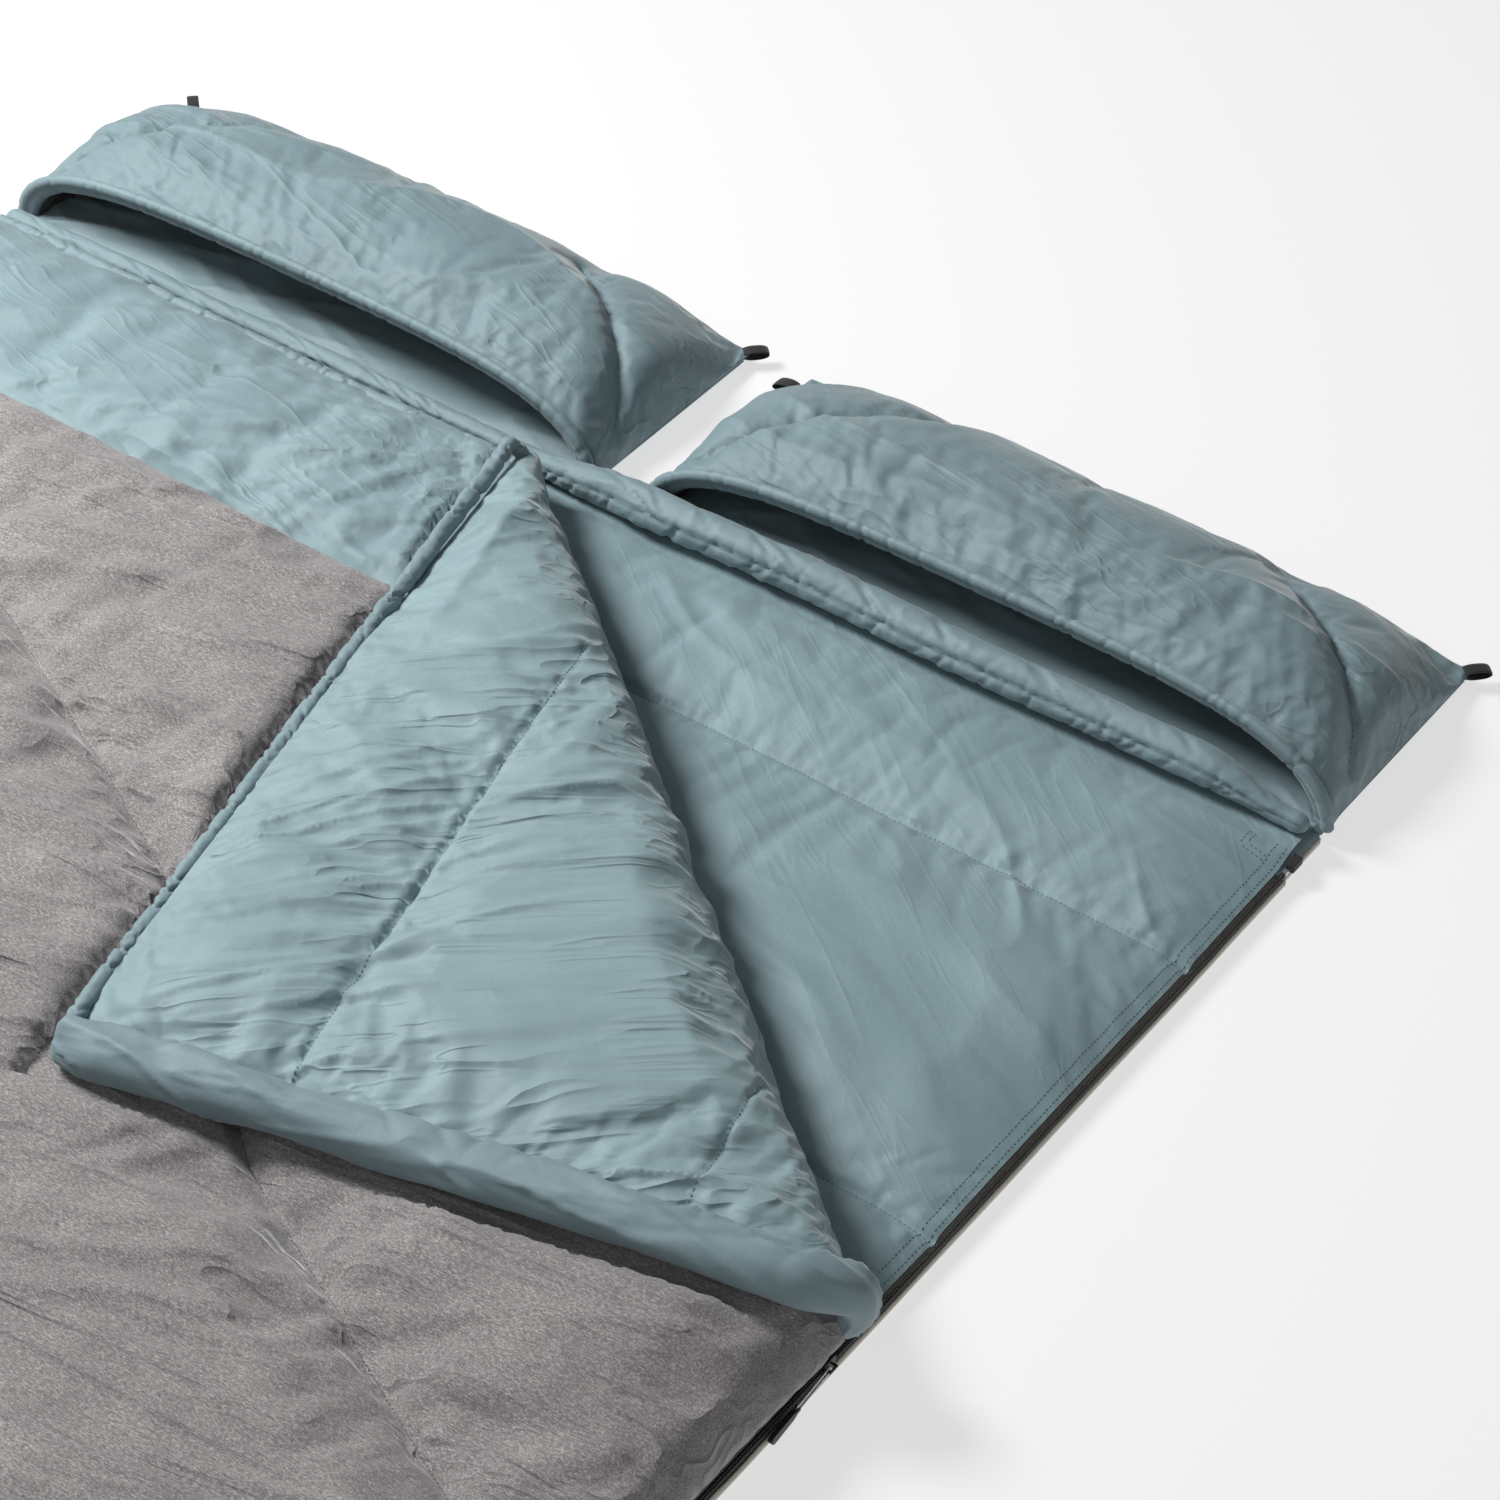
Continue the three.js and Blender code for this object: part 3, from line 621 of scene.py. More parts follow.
def dropped(points, trees, back=0.03):
    """Each point moved straight down onto the nearest surface, or None if one misses."""
    down = Vector((0, 0, -1))
    out, normals = [], []
    for p in points:
        hits = [t.ray_cast(Vector(p) - down * back, down) for t in trees]
        hits = [h for h in hits if h[0] is not None]
        if not hits:
            return None
        where, normal = min(hits, key=lambda h: h[3])[:2]
        out.append(np.array(where))
        normals.append(np.array(normal) * (1 if normal.dot(down) < 0 else -1))
    return np.array(out), np.array(normals)


def stitches(name, lines, trees, material, length=0.0032, pitch=0.0045, thick=0.0005):
    """A row of thread stitches lying on the surface along each line."""
    verts, faces = [], []
    for line in lines:
        table = curve_table(line, 300)
        for s in np.arange(pitch / 2, table[0][-1] - length, pitch):
            found = dropped(at(table, np.array([s, s + length / 2, s + length])), trees)
            if found is None:
                continue
            pts, normals = found
            n = unit(normals[1])
            b = np.cross(n, unit(pts[2] - pts[0]))
            faces += [tuple(len(verts) + k for k in f) for f in tube_faces(3, 4)]
            for p, lift, w in ((pts[0], -0.0001, 0.25), (pts[1], thick * 0.7, 1), (pts[2], -0.0001, 0.25)):
                c = p + n * lift
                verts += [c + b * thick * w, c + n * thick * 0.8 * w, c - b * thick * w, c - n * thick * w]
    return new_mesh(name, verts, faces, material, shade=False)


# ---------------------------------------------------------------- base quilt
def base_body():
    """The lower quilt's underside, rim and the bed under its lining."""
    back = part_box("base_outer")[1].y
    xs = np.unique(np.concatenate([np.linspace(-SIDE, -SIDE + 0.05, 9),
                                   np.linspace(-SIDE + 0.05, SIDE - 0.05, 90),
                                   np.linspace(SIDE - 0.05, SIDE, 9)]))
    ys = np.unique(np.concatenate([np.linspace(FOOT, FOOT + 0.05, 9),
                                   np.linspace(FOOT + 0.05, back - 0.01, 120),
                                   np.linspace(back - 0.01, back, 4)]))
    x, y = np.meshgrid(xs, ys, indexing="ij")
    edge = np.minimum(np.minimum(SIDE - np.abs(x), y - FOOT), 1)
    wave = 0.0008 * noise2(x * 22, y * 22, 3)
    top = 0.0072 + 0.0075 * smooth(edge / 0.05) + wave * smooth(edge / 0.02)
    low = 0.0008 * (1 - smooth(edge / 0.006))
    obj = slab_mesh("base_underside", np.stack([x, y, top], -1), np.stack([x, y, low], -1), BEIGE)
    place(obj, "bag", "underside_fabric", "base_outer", "base_filling", pad=0.5)


QUILT_ROWS = [NECK - 0.166, NECK - 0.528]  # the lining's quilting rows that can be seen


def base_lining():
    left, right = -0.13, SIDE - 0.004
    low = from_fold(FOLD_END + 0.02, -0.13)[1]
    top = NECK + 0.036
    hidden = NECK - 0.10  # where the lining goes under the top quilt
    outline = [(left, top), (left, hidden), (right, low), (right, top)]
    slope = (low - hidden) / (right - left)
    rows = []
    for y in QUILT_ROWS:
        start = left if y > hidden else left + (y - hidden) / slope
        rows.append([(start + 0.002, y), (right - 0.001, y)])
    v, f, pin = patch(outline, rows, 0.0068, seed=4)
    x, y = v[:, 0], v[:, 1]
    seam = np.min([np.abs(y - q) for q in QUILT_ROWS], axis=0)
    edge = right - x
    roll = np.maximum(NECK + 0.004 - y, 0)
    z = 0.0215 + 0.0085 * (1 - np.exp(-seam / 0.045))
    z = z * (0.35 + 0.65 * np.sqrt(smooth(edge / 0.085))) + 0.0062 * (1 - smooth(edge / 0.085))
    z += 0.008 * (1 - smooth(roll / 0.035))
    tuck = smooth((y - NECK + 0.018) / 0.016)
    z = z * (1 - tuck) + np.minimum(z, 0.0245) * tuck
    s, n = to_fold(v)
    wavy = 0.0022 * folds(s, n, 12, 2.2, 13) + 0.0012 * folds(x, y, 14, 5, 26)
    z += wavy * smooth(edge / 0.05) * smooth(roll / 0.03)
    pin |= y > NECK + 0.002
    obj = new_mesh("base_lining", np.column_stack([v, z]), f, TEAL_BASE)
    sewn_cloth(obj, pin, frames=14, slack=-0.006, pressure=2.4, bend=2.0, limit=0.010)
    co = coords(obj)
    # Soft long creases lead away from the fold, where the corner has pulled the lining.
    s, n = to_fold(co[:, :2])
    crease = folds(s + 0.3 * n, n, 21, 2.0, 30, 1.3)
    fade = smooth(n / 0.03) * np.exp(-np.maximum(n, 0) / 0.25) * smooth((right - co[:, 0]) / 0.06)
    co[:, 2] += 0.0026 * crease * fade
    set_coords(obj, co)
    refined(obj, pin)
    co = puckers(coords(obj), rows, 0.0030, 0.015, 0.018, 22, 0.0044, 0.005)
    s, n = to_fold(co[:, :2])
    room = smooth((right - co[:, 0]) / 0.05) * smooth((NECK - 0.02 - co[:, 1]) / 0.03)
    beside = np.exp(-np.maximum(n - 0.03, 0) / 0.12)
    co[:, 2] += room * (0.0060 * beside * creases(s, n - 0.12 * s, 23, 3, 20, 2.8, 0.3)
                        + 0.0036 * creases(s, n - 0.35 * s, 25, 3.2, 15, 3.2, 0.15)
                        + 0.0012 * creases(co[:, 0], co[:, 1], 24, 6, 30, 3, -0.1))
    set_coords(obj, co)
    place(obj, "bag", "plain_fabric", "base_lining", "zip_facing_patch", pad=0.5)
    trees = surface_of(obj)
    above = 0.03  # stitches drop onto the lining from here
    lines = [[(*p, above) for p in np.linspace(r[0], r[1], 30)] for r in rows]
    inset = right - 0.013
    for x in (inset, right - 0.0045):
        lines.append([(x, y, above) for y in np.linspace(low + 0.05, NECK - 0.004, 40)])
    patch_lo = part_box("zip_facing_patch")[0]
    for k in (0, 0.005):
        x, y = patch_lo.x + 0.03 + k, patch_lo.y + 0.028 + k
        lines.append([(x, b, above) for b in np.linspace(y, NECK - 0.006, 8)])
        lines.append([(a, y, above) for a in np.linspace(x, inset, 8)])
    thread = stitches("base_stitches", lines, trees, TEAL_THREAD)
    place(thread, "bag", "plain_fabric")


# ---------------------------------------------------------------- neck roll
def neck_roll():
    z = (roll_lo.z + roll_hi.z) / 2
    y = (roll_lo.y + roll_hi.y) / 2
    half = roll_hi.x
    length = 2 * half
    front = gathers(length, 0.0190, 31, 0.8)
    back = gathers(length, 0.0190, 32)
    long = gathers(length, 0.042, 37, 0.8)
    low = gathers(length, 0.023, 39, 0.8)
    seam = 1.22  # the angle of the seam that the gathers leave

    def slim(s):
        """1 on the open side of the neck, less where the top quilt lies against the roll."""
        x = s - half
        return 0.60 + 0.40 * smooth((x + 0.10) / 0.16)

    def size(s, a):
        turn = (a - seam + math.pi) % (2 * math.pi) - math.pi
        lumps = noise2(s * 21 + np.sin(a) * 2, np.cos(a) * 2, 34)
        r = 0.0185 * (1.0 + 0.06 * noise2(s * 7, a * 0 + 1.5, 33) + 0.06 * lumps)
        r -= 0.0030 * np.exp(-(turn / 0.13) ** 2)
        signed = (a + 1.2) % (2 * math.pi) - 1.2
        r -= 0.0016 * gather_field(s, a, front, 0.0024, 0.014, 0.5, seam)
        r -= 0.0018 * gather_field(s, a, back, 0.0040, 0.008, 0.9, 4.3)
        r -= 0.0042 * pleats(s, signed, long, 0.0042, 0.030, -0.9, seam + 0.25)
        r -= 0.0034 * pleats(s, signed, low, 0.0030, -0.020, seam - 0.25, 2.7)
        r += 0.0016 * creases(a * 0.02 + s * 0.5, s - a * 0.018, 38, 30, 26, 3.0, 0.1)
        r = r * slim(s) * (1 - 0.50 * smooth((s - length + 0.11) / 0.10))
        return r + 0.0004 * noise2(s * 160, a * 3, 35)

    path = []
    for x in np.linspace(-half, half + 0.006, 60):
        k = slim(np.array(x + half)).item()
        wander = noise2(np.array(x * 6.0), np.array(0.3), 36).item()
        path.append((x, y - 0.004 * (1 - k) + 0.0025 * wander, z - 0.028 * (1 - k) + 0.0012 * wander
                     - 0.016 * smooth((x - half + 0.11) / 0.11)))
    obj = tube("neck_roll", path, size, TEAL_SHADED, ring=36, step=0.0022, ends=0.9)
    place(obj, "bag", "plain_fabric", "neck_roll_cover", "neck_roll_core", pad=0.7)


# ---------------------------------------------------------------- top quilt, lying part
# How the top quilt comes down at its sides and foot: distance in from the edge, and height.
ROUND = 0.110  # how far in the face begins
SIDE_Z, FOOT_Z = 0.0235, 0.0120  # where it meets the zip and the foot
ONTO_FACE = [(0.035, 0.084), (0.070, 0.087), (ROUND, FACE_Z)]
SIDE_PROFILE = curve_table([(0.0, SIDE_Z), (-0.007, 0.034), (-0.011, 0.048), (-0.005, 0.064), (0.010, 0.077)]
                           + ONTO_FACE)
FOOT_PROFILE = curve_table([(0.0, FOOT_Z), (-0.008, 0.026), (-0.011, 0.044), (-0.004, 0.062), (0.012, 0.076)]
                           + ONTO_FACE)
SIDE_EXTRA, FOOT_EXTRA = SIDE_PROFILE[0][-1] - ROUND, FOOT_PROFILE[0][-1] - ROUND
TACK = (0.075, 0.167)  # where the first diagonal bends, held down by a tack


def quilt_line(k):
    """One of the diagonal quilting lines of the outer fabric, in plan."""
    down = 0.48 * k
    return [np.array((x, y - down)) for x, y in ((-0.72, 0.553), TACK, (0.315, -0.020), (0.75, -0.228))]


def top_height(x, y):
    """The lofted outer surface of the closed top quilt, in plan, before its edges roll down."""
    seam = np.min([nearest(x, y, quilt_line(k))[0] for k in range(-1, 5)], axis=0)
    n = to_fold(np.stack([x, y], -1))[1]
    raised = smooth(np.abs(n) / 0.07)
    loft = -0.013 * np.exp(-seam / 0.035) + 0.004 * noise2(x * 4.2, y * 4.2, 41) - 0.001
    return raised * (loft - 0.012 * np.exp(-np.hypot(x - TACK[0], y - TACK[1]) / 0.02))


def top_outer():
    left_dom, foot_dom = -SIDE - SIDE_EXTRA, FOOT - FOOT_EXTRA
    head = HEAD_EDGE - 0.009
    inner = SIDE - 0.02
    outline = [(left_dom, foot_dom), (-left_dom, foot_dom), (-left_dom, FOLD_AT_SIDE),
               (inner, from_side(inner)), (fold_x(head), head), (left_dom, head)]
    diagonals = []
    for k in range(4):
        line = [tuple(p) for p in quilt_line(k)]
        line[0] = (left_dom + 0.002, line[0][1] + (-left_dom - 0.72 - 0.002) * 0.4855)
        if line[0][1] > BAND_SEAM - 0.004:
            line[0] = (-0.725, BAND_SEAM - 0.003)
        line[-1] = (-left_dom - 0.002, line[-1][1] - (-left_dom - 0.002 - 0.75) * 0.478)
        diagonals.append(line)
    lines = diagonals + [[(left_dom + 0.001, BAND_SEAM), (fold_x(BAND_SEAM) - 0.003, BAND_SEAM)]]
    v, f, pin = patch(outline, lines, 0.0120, seed=6)
    x, y = v[:, 0], v[:, 1]
    side_arc = -left_dom - np.abs(x)
    ps = at(SIDE_PROFILE, np.clip(side_arc, 0, SIDE_PROFILE[0][-1]))
    pf = at(FOOT_PROFILE, np.clip(y - foot_dom, 0, FOOT_PROFILE[0][-1]))
    xr = np.where(side_arc < SIDE_PROFILE[0][-1], np.sign(x) * (SIDE - ps[:, 0]), x)
    yr = np.where(y - foot_dom < FOOT_PROFILE[0][-1], FOOT + pf[:, 0], y)
    share = ((ps[:, 1] - SIDE_Z) / (FACE_Z - SIDE_Z)) * ((pf[:, 1] - FOOT_Z) / (FACE_Z - FOOT_Z))
    z = 0.0215 + (FACE_Z - 0.0215) * share
    front = smooth((head - y) / 0.05)
    z = z - 0.020 * (1 - np.sqrt(front)) * share
    z = z + top_height(xr, yr) * smooth(side_arc / 0.12) * front
    n = to_fold(np.column_stack([xr, yr]))[1]
    near = smooth(1 + n / 0.05)
    z = np.where(n > -0.05, z * (1 - near) + np.minimum(z, FOLD_Z) * near, z)
    obj = new_mesh("top_outer", np.column_stack([xr, yr, z]), f, JERSEY)
    obj.data.materials.append(TEAL_HEAD)
    co = coords(obj)
    u, w = turned(co[:, 0], co[:, 1])
    co[:, 2] += (~pin) * smooth((co[:, 2] - 0.05) / 0.03) * 0.0030 * folds(u, w, 43, 2.2, 18)
    set_coords(obj, co)
    sewn_cloth(obj, pin, frames=16, slack=-0.022, pressure=2.6, bend=0.7, limit=0.014)
    # The corner lying on it presses the quilt down.
    co = coords(obj)
    ceiling = 0.0865
    pressed = ceiling + (co[:, 2] - ceiling) * (1 - inside_flap(co[:, :2]))
    co[:, 2] = np.where(co[:, 2] > ceiling, pressed, co[:, 2])
    set_coords(obj, co)
    band_faces(obj, co)
    refined(obj, pin)
    co = coords(obj)
    x, y = co[:, 0], co[:, 1]
    u, w = turned(x, y)
    n = to_fold(co[:, :2])[1]
    calm = smooth((co[:, 2] - 0.045) / 0.03) * smooth((np.abs(n) - 0.004) / 0.02)
    sway = 0.02 * noise2(u * 2.2, w * 2.2, 65)
    teal = smooth((y - BAND_SEAM + 0.02) / 0.05)
    w = w - 0.30 * teal * (u + 0.4)
    calm = calm * (1 - 0.85 * np.exp(-((y - BAND_SEAM) / 0.012) ** 2))
    co[:, 2] += calm * (0.0020 * (1 - 0.6 * teal) * folds(u, w, 45, 2.0, 30, 1.4)
                        + (0.0062 + 0.002 * teal) * creases(u, w + sway, 46, 1.7, 15, 3.8, 0.35)
                        + 0.0050 * creases(u - 0.2 * w, w - 0.10 * u + sway, 58, 2.0, 25, 3.2, 0.3)
                        + (0.0032 * (1 - 0.7 * teal)
                           * creases(u + 0.2 * w, w + 0.20 * u, 66, 4, 38, 2.6, 0.15)))
    groove = np.exp(-((y - BAND_SEAM) / 0.004) ** 2) * smooth(-n / 0.03) * smooth((SIDE - np.abs(x)) / 0.05)
    co[:, 2] -= 0.0022 * groove
    # folds run out of the place where the head hem turns up
    reach = np.hypot(x - APEX[0], y - HEAD_EDGE)
    fan = np.arctan2(y - HEAD_EDGE, APEX[0] - x)
    gather = 1.3 * creases(reach, fan * 0.4, 48, 3.0, 16, 2.8, 0.4)
    gather += 0.7 * creases(reach, fan * 0.4, 49, 5.0, 34, 2.4, 0.3)
    near_apex = np.exp(-reach / 0.30) * smooth(reach / 0.03) * smooth((HEAD_EDGE - 0.012 - y) / 0.02)
    co[:, 2] += 0.0062 * gather * near_apex * smooth(-n / 0.03) * smooth((y - 0.45) / 0.1)
    co = puckers(co, diagonals, 0.0046, 0.026, 0.024, 44, 0.0075, 0.009)
    # short creases gather at the tack in the first diagonal
    reach = np.hypot(x - TACK[0], y - TACK[1])
    fan = np.arctan2(y - TACK[1], x - TACK[0])
    ring = noise2(np.cos(fan) * 3.1 + 5, np.sin(fan) * 3.1 + reach * 4, 50)
    co[:, 2] += 0.0125 * ring * np.exp(-reach / 0.06) * smooth(reach / 0.01)
    co[:, 2] -= 0.006 * np.exp(-(reach / 0.012) ** 2)
    co[:, 2] = np.where(inside_flap(co[:, :2]) > 0.5, np.minimum(co[:, 2], 0.0868), co[:, 2])
    co[:, 2] = np.maximum(co[:, 2], 0.004)
    # drawn in low down beside the sliders' run
    slider_lo, slider_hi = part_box("right_zip_slider")
    low = smooth((slider_hi.z + 0.006 - co[:, 2]) / 0.004) * smooth((FOOT + 0.16 - co[:, 1]) / 0.04)
    inner = slider_lo.x - 0.0015
    out = np.maximum(np.abs(co[:, 0]) - inner, 0)
    co[:, 0] -= np.sign(co[:, 0]) * out * low
    set_coords(obj, co)
    band = split_by_material(obj, "top_outer_band", 1)
    obj.name = "top_outer_jersey_cover"
    place(obj, "bag", "jersey", "top_outer_jersey", "top_filling", pad=0.55)
    place(band, "bag", "plain_fabric", "top_outer_band", "top_lining", pad=0.5)
    trees = surface_of(obj, band)
    sewn = [dense([(*p, 0.12) for p in line], 60) for line in diagonals]
    place(stitches("top_stitches", sewn, trees, JERSEY_THREAD), "bag", "jersey")


def dense(line, count):
    p = np.array(line, float)
    s = np.concatenate([[0], np.cumsum(np.linalg.norm(np.diff(p, axis=0), axis=1))])
    t = np.linspace(0.004, s[-1] - 0.004, count)
    return np.stack([np.interp(t, s, p[:, k]) for k in range(p.shape[1])], -1)


def from_side(x):
    """Where the fold line is at x."""
    return APEX[1] + (x - APEX[0]) * ALONG[1] / ALONG[0]


def fold_x(y):
    """Where the fold line is at y."""
    return APEX[0] + (y - APEX[1]) * ALONG[0] / ALONG[1]


def turned(x, y, turn=math.radians(12)):
    """Plan coordinates along and across the jersey's creases."""
    return x * math.cos(turn) + y * math.sin(turn), y * math.cos(turn) - x * math.sin(turn)


def band_faces(obj, plan):
    """Gives the faces beyond the band's seam the second material. plan holds their points, closed."""
    centre = np.array([np.mean([plan[i][1] for i in p.vertices]) for p in obj.data.polygons])
    obj.data.polygons.foreach_set("material_index", (centre > BAND_SEAM).astype(np.int32))


FOLD_AT_SIDE = from_side(SIDE)


def inside_flap(p):
    """1 under the folded corner, falling to 0 outside it."""
    s, n = to_fold(p)
    closed = from_fold(s, -n)
    room = np.minimum(np.minimum(-n, SIDE + 0.035 - closed[..., 0]), HEAD_EDGE - closed[..., 1])
    return smooth((room + 0.03) / 0.03)


def split_by_material(obj, name, index):
    """Moves the faces of one material into an object of their own."""
    me = obj.data
    co = coords(obj)
    out = []
    for want in (0, 1):
        faces = [tuple(p.vertices) for p in me.polygons if p.material_index == want]
        used = np.unique(np.concatenate([np.array(f) for f in faces]))
        remap = {int(k): i for i, k in enumerate(used)}
        out.append((co[used], [tuple(remap[i] for i in f) for f in faces], me.materials[want]))
    v, f, m = out[1 - index]
    keep = new_mesh(obj.name + "_kept", v, f, m)
    old, obj.data = obj.data, keep.data
    bpy.data.objects.remove(keep)
    bpy.data.meshes.remove(old)
    v, f, m = out[index]
    return new_mesh(name, v, f, m)


# ---------------------------------------------------------------- folded corner
# The roll of fabric at the fold, from the flat part over its crest and down to the bag: distance
# across the fold line, and height.
NOSE = curve_table([(-0.160, 0.1210), (-0.110, 0.1212), (-0.070, 0.1205), (-0.035, 0.1180), (-0.010, 0.1110),
                    (0.0075, 0.0970), (0.0155, 0.0770), (0.0135, 0.0560), (0.000, 0.0405), (-0.030, 0.0368),
                    (-0.070, 0.0400)])
NOSE_LENGTH = NOSE[0][-1]


QUILT_ROWS_TOP = [NECK - 0.21, NECK - 0.54]


def folded_row(y, start, count):
    """A quilting row of the corner's lining, folded over, from the side inwards."""
    return mirrored(np.array([[x, y] for x in np.linspace(start, APEX[0], count)]))


def flow(s, n):
    """Runs along the tension folds that cross the corner, fanning out from the fold."""
    return s - n * (0.85 * s - 0.35)


def corner_lining():
    """The folded corner's lining, with the roll of fabric at the fold that joins it to the bag."""
    # Domain: s along the fold, m across it: m < 0 is the flat part and 0..NOSE_LENGTH rolls over the nose.
    hem = HEAD_EDGE - HEM_IN
    hem_s, hem_n = to_fold(mirrored(np.array([[APEX[0] - 0.005, hem], [SIDE, hem]])))
    side_s, side_n = to_fold(mirrored(np.array([[SIDE, hem], [SIDE, FOLD_AT_SIDE]])))
    shift = NOSE[1][0, 0]

    def dom(s, n):
        return (s, n - shift) if n < shift else (s, 0.0)

    tip = dom(hem_s[1], hem_n[1])
    top_slope = (hem_n[1] - hem_n[0]) / (hem_s[1] - hem_s[0])
    side_slope = (side_n[1] - side_n[0]) / (side_s[1] - side_s[0])

    left, right = [], []
    for m in np.linspace(0, NOSE_LENGTH, 16):
        beyond = float(at(NOSE, m)[0])
        n = min(beyond, 0.0)
        left.append((hem_s[1] + (n - hem_n[1]) / top_slope - (0.006 if beyond > 0 else 0), m))
        right.append((side_s[0] + (n - side_n[0]) / side_slope + 0.010 * smooth(m / NOSE_LENGTH), m))
    outline = [tip] + left + right[::-1]
    lines = []
    for y in QUILT_ROWS_TOP:
        s, n = to_fold(folded_row(y, SIDE - 0.001, 40))
        pts = [(float(a), float(b - shift)) for a, b in zip(s, n) if b < shift]
        if pts:
            end = pts[-1]
            # carried on round the nose at the same slant
            step = (end[0] - pts[-2][0]) / max(1e-6, end[1] - pts[-2][1])
            for m in np.linspace(0.01, 0.10, 8):
                pts.append((end[0] + step * (m - end[1]), m))
            lines.append(pts)
    v, f, pin = patch(outline, lines, 0.0068, seed=8)
    s, m = v[:, 0], v[:, 1]
    prof = at(NOSE, np.clip(m, 0, NOSE_LENGTH))
    n = np.where(m < 0, m + shift, prof[:, 0])
    z = np.where(m < 0, NOSE[1][0, 1], prof[:, 1])
    xy = from_fold(s, n)
    closed = from_fold(s, -n)
    # thinner towards the apex, where hem and fold meet, and towards the seams
    hem_room = np.maximum(hem - closed[:, 1], 0)
    side_room = np.maximum(SIDE - closed[:, 0], 0)
    seam = np.min([np.abs(closed[:, 1] - y) for y in QUILT_ROWS_TOP], axis=0)
    flat_part = smooth((0.04 - m) / 0.08)
    middle = (NOSE[1][:, 1].max() + 0.037) / 2 - 0.004
    press = np.sqrt(smooth(hem_room / 0.055))
    thin = 0.112 + (z - 0.112) * press
    nose_z = middle + (z - middle) * (0.5 + 0.5 * press)
    z = np.where(m < 0.06, thin * flat_part + nose_z * (1 - flat_part), nose_z)
    z = z - 0.012 * (1 - np.sqrt(smooth(side_room / 0.06))) * flat_part
    z = z + (0.0036 * (1 - np.exp(-seam / 0.030)) - 0.0033) * flat_part
    z = z + 0.0022 * noise2(s * 7, n * 7, 51) * flat_part * press
    z = z + (~pin) * 0.0042 * folds(n, flow(s, n), 54, 3.0, 21, 1.2) * flat_part * press
    obj = new_mesh("corner_lining_cover", np.column_stack([xy, z]), f, TEAL_CORNER_LIT)
    sewn_cloth(obj, pin, frames=16, slack=-0.026, pressure=3.2, bend=0.6, limit=0.014)
    co = coords(obj)
    cs, cn = to_fold(co[:, :2])
    # Tension folds cross the corner, square to the fold line.
    ridge = folds(cn, flow(cs, cn), 52, 3.4, 36, 1.2)
    strength = smooth(-cn / 0.02 + 0.6) * (0.35 + 0.65 * np.exp(-np.maximum(-cn - 0.02, 0) / 0.16))
    co[:, 2] += 0.0030 * ridge * strength * np.sqrt(smooth((HEAD_EDGE - from_fold(cs, -cn)[:, 1]) / 0.06))
    # gathers leave the hem and the tube's seam
    plan = from_fold(cs, -cn)
    hem_d, side_d = np.maximum(hem - plan[:, 1], 0), np.maximum(SIDE - plan[:, 0], 0)
    flat = smooth((-cn - 0.004) / 0.02)
    for depth, along, d, reach, seed in ((0.0030, plan[:, 0] / 0.014 + hem_d * 26, hem_d, 0.055, 55),
                                         (0.0032, plan[:, 1] / 0.016 - side_d * 20, side_d, 0.045, 56)):
        co[:, 2] += flat * depth * noise2(along, d * 9, seed) * np.exp(-d / reach) * smooth(d / 0.006)
    set_coords(obj, co)
    refined(obj, pin)
    rows = []
    for y in QUILT_ROWS_TOP:
        q = folded_row(y, SIDE, 60)
        rows.append(q[to_fold(q)[1] < 0.0])
    co = puckers(coords(obj), rows, 0.0024, 0.012, 0.016, 57, 0.0024, 0.004)
    cs, cn = to_fold(co[:, :2])
    plan = from_fold(cs, -cn)
    hem_d, side_d = np.maximum(hem - plan[:, 1], 0), np.maximum(SIDE - plan[:, 0], 0)
    room = smooth(hem_d / 0.02) * smooth(side_d / 0.02) * smooth((-cn + 0.012) / 0.03)
    co[:, 2] += room * (0.0050 * creases(cn, flow(cs, cn), 59, 2.6, 22, 3.0, 0.40)
                        + 0.0030 * creases(cn + 0.3 * cs, flow(cs, cn), 60, 3.6, 36, 2.8, 0.25))
    # the same creases run over the fold
    over = smooth((cn + 0.02) / 0.03)
    co[:, :2] += (over * 0.0055 * creases(co[:, 2], cs, 63, 3.0, 24, 2.0, 0.3))[:, None] * ACROSS
    # what is highest is eased down, to stay near the CAD's height
    high = np.maximum(co[:, 2] - 0.134, 0)
    co[:, 2] -= high - 0.006 * (1 - np.exp(-high / 0.006))
    set_coords(obj, co)
    trees = surface_of(obj)
    across = []
    for y in QUILT_ROWS_TOP:
        q = folded_row(y, SIDE - 0.004, 120)
        across.append([(*p, 0.14) for p in q[to_fold(q)[1] < -0.004]])
    thread = stitches("corner_stitches", across, trees, TEAL_THREAD)
    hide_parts("corner_lining", "corner_filling")
    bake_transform(obj)
    place(thread, "corner", "plain_fabric")


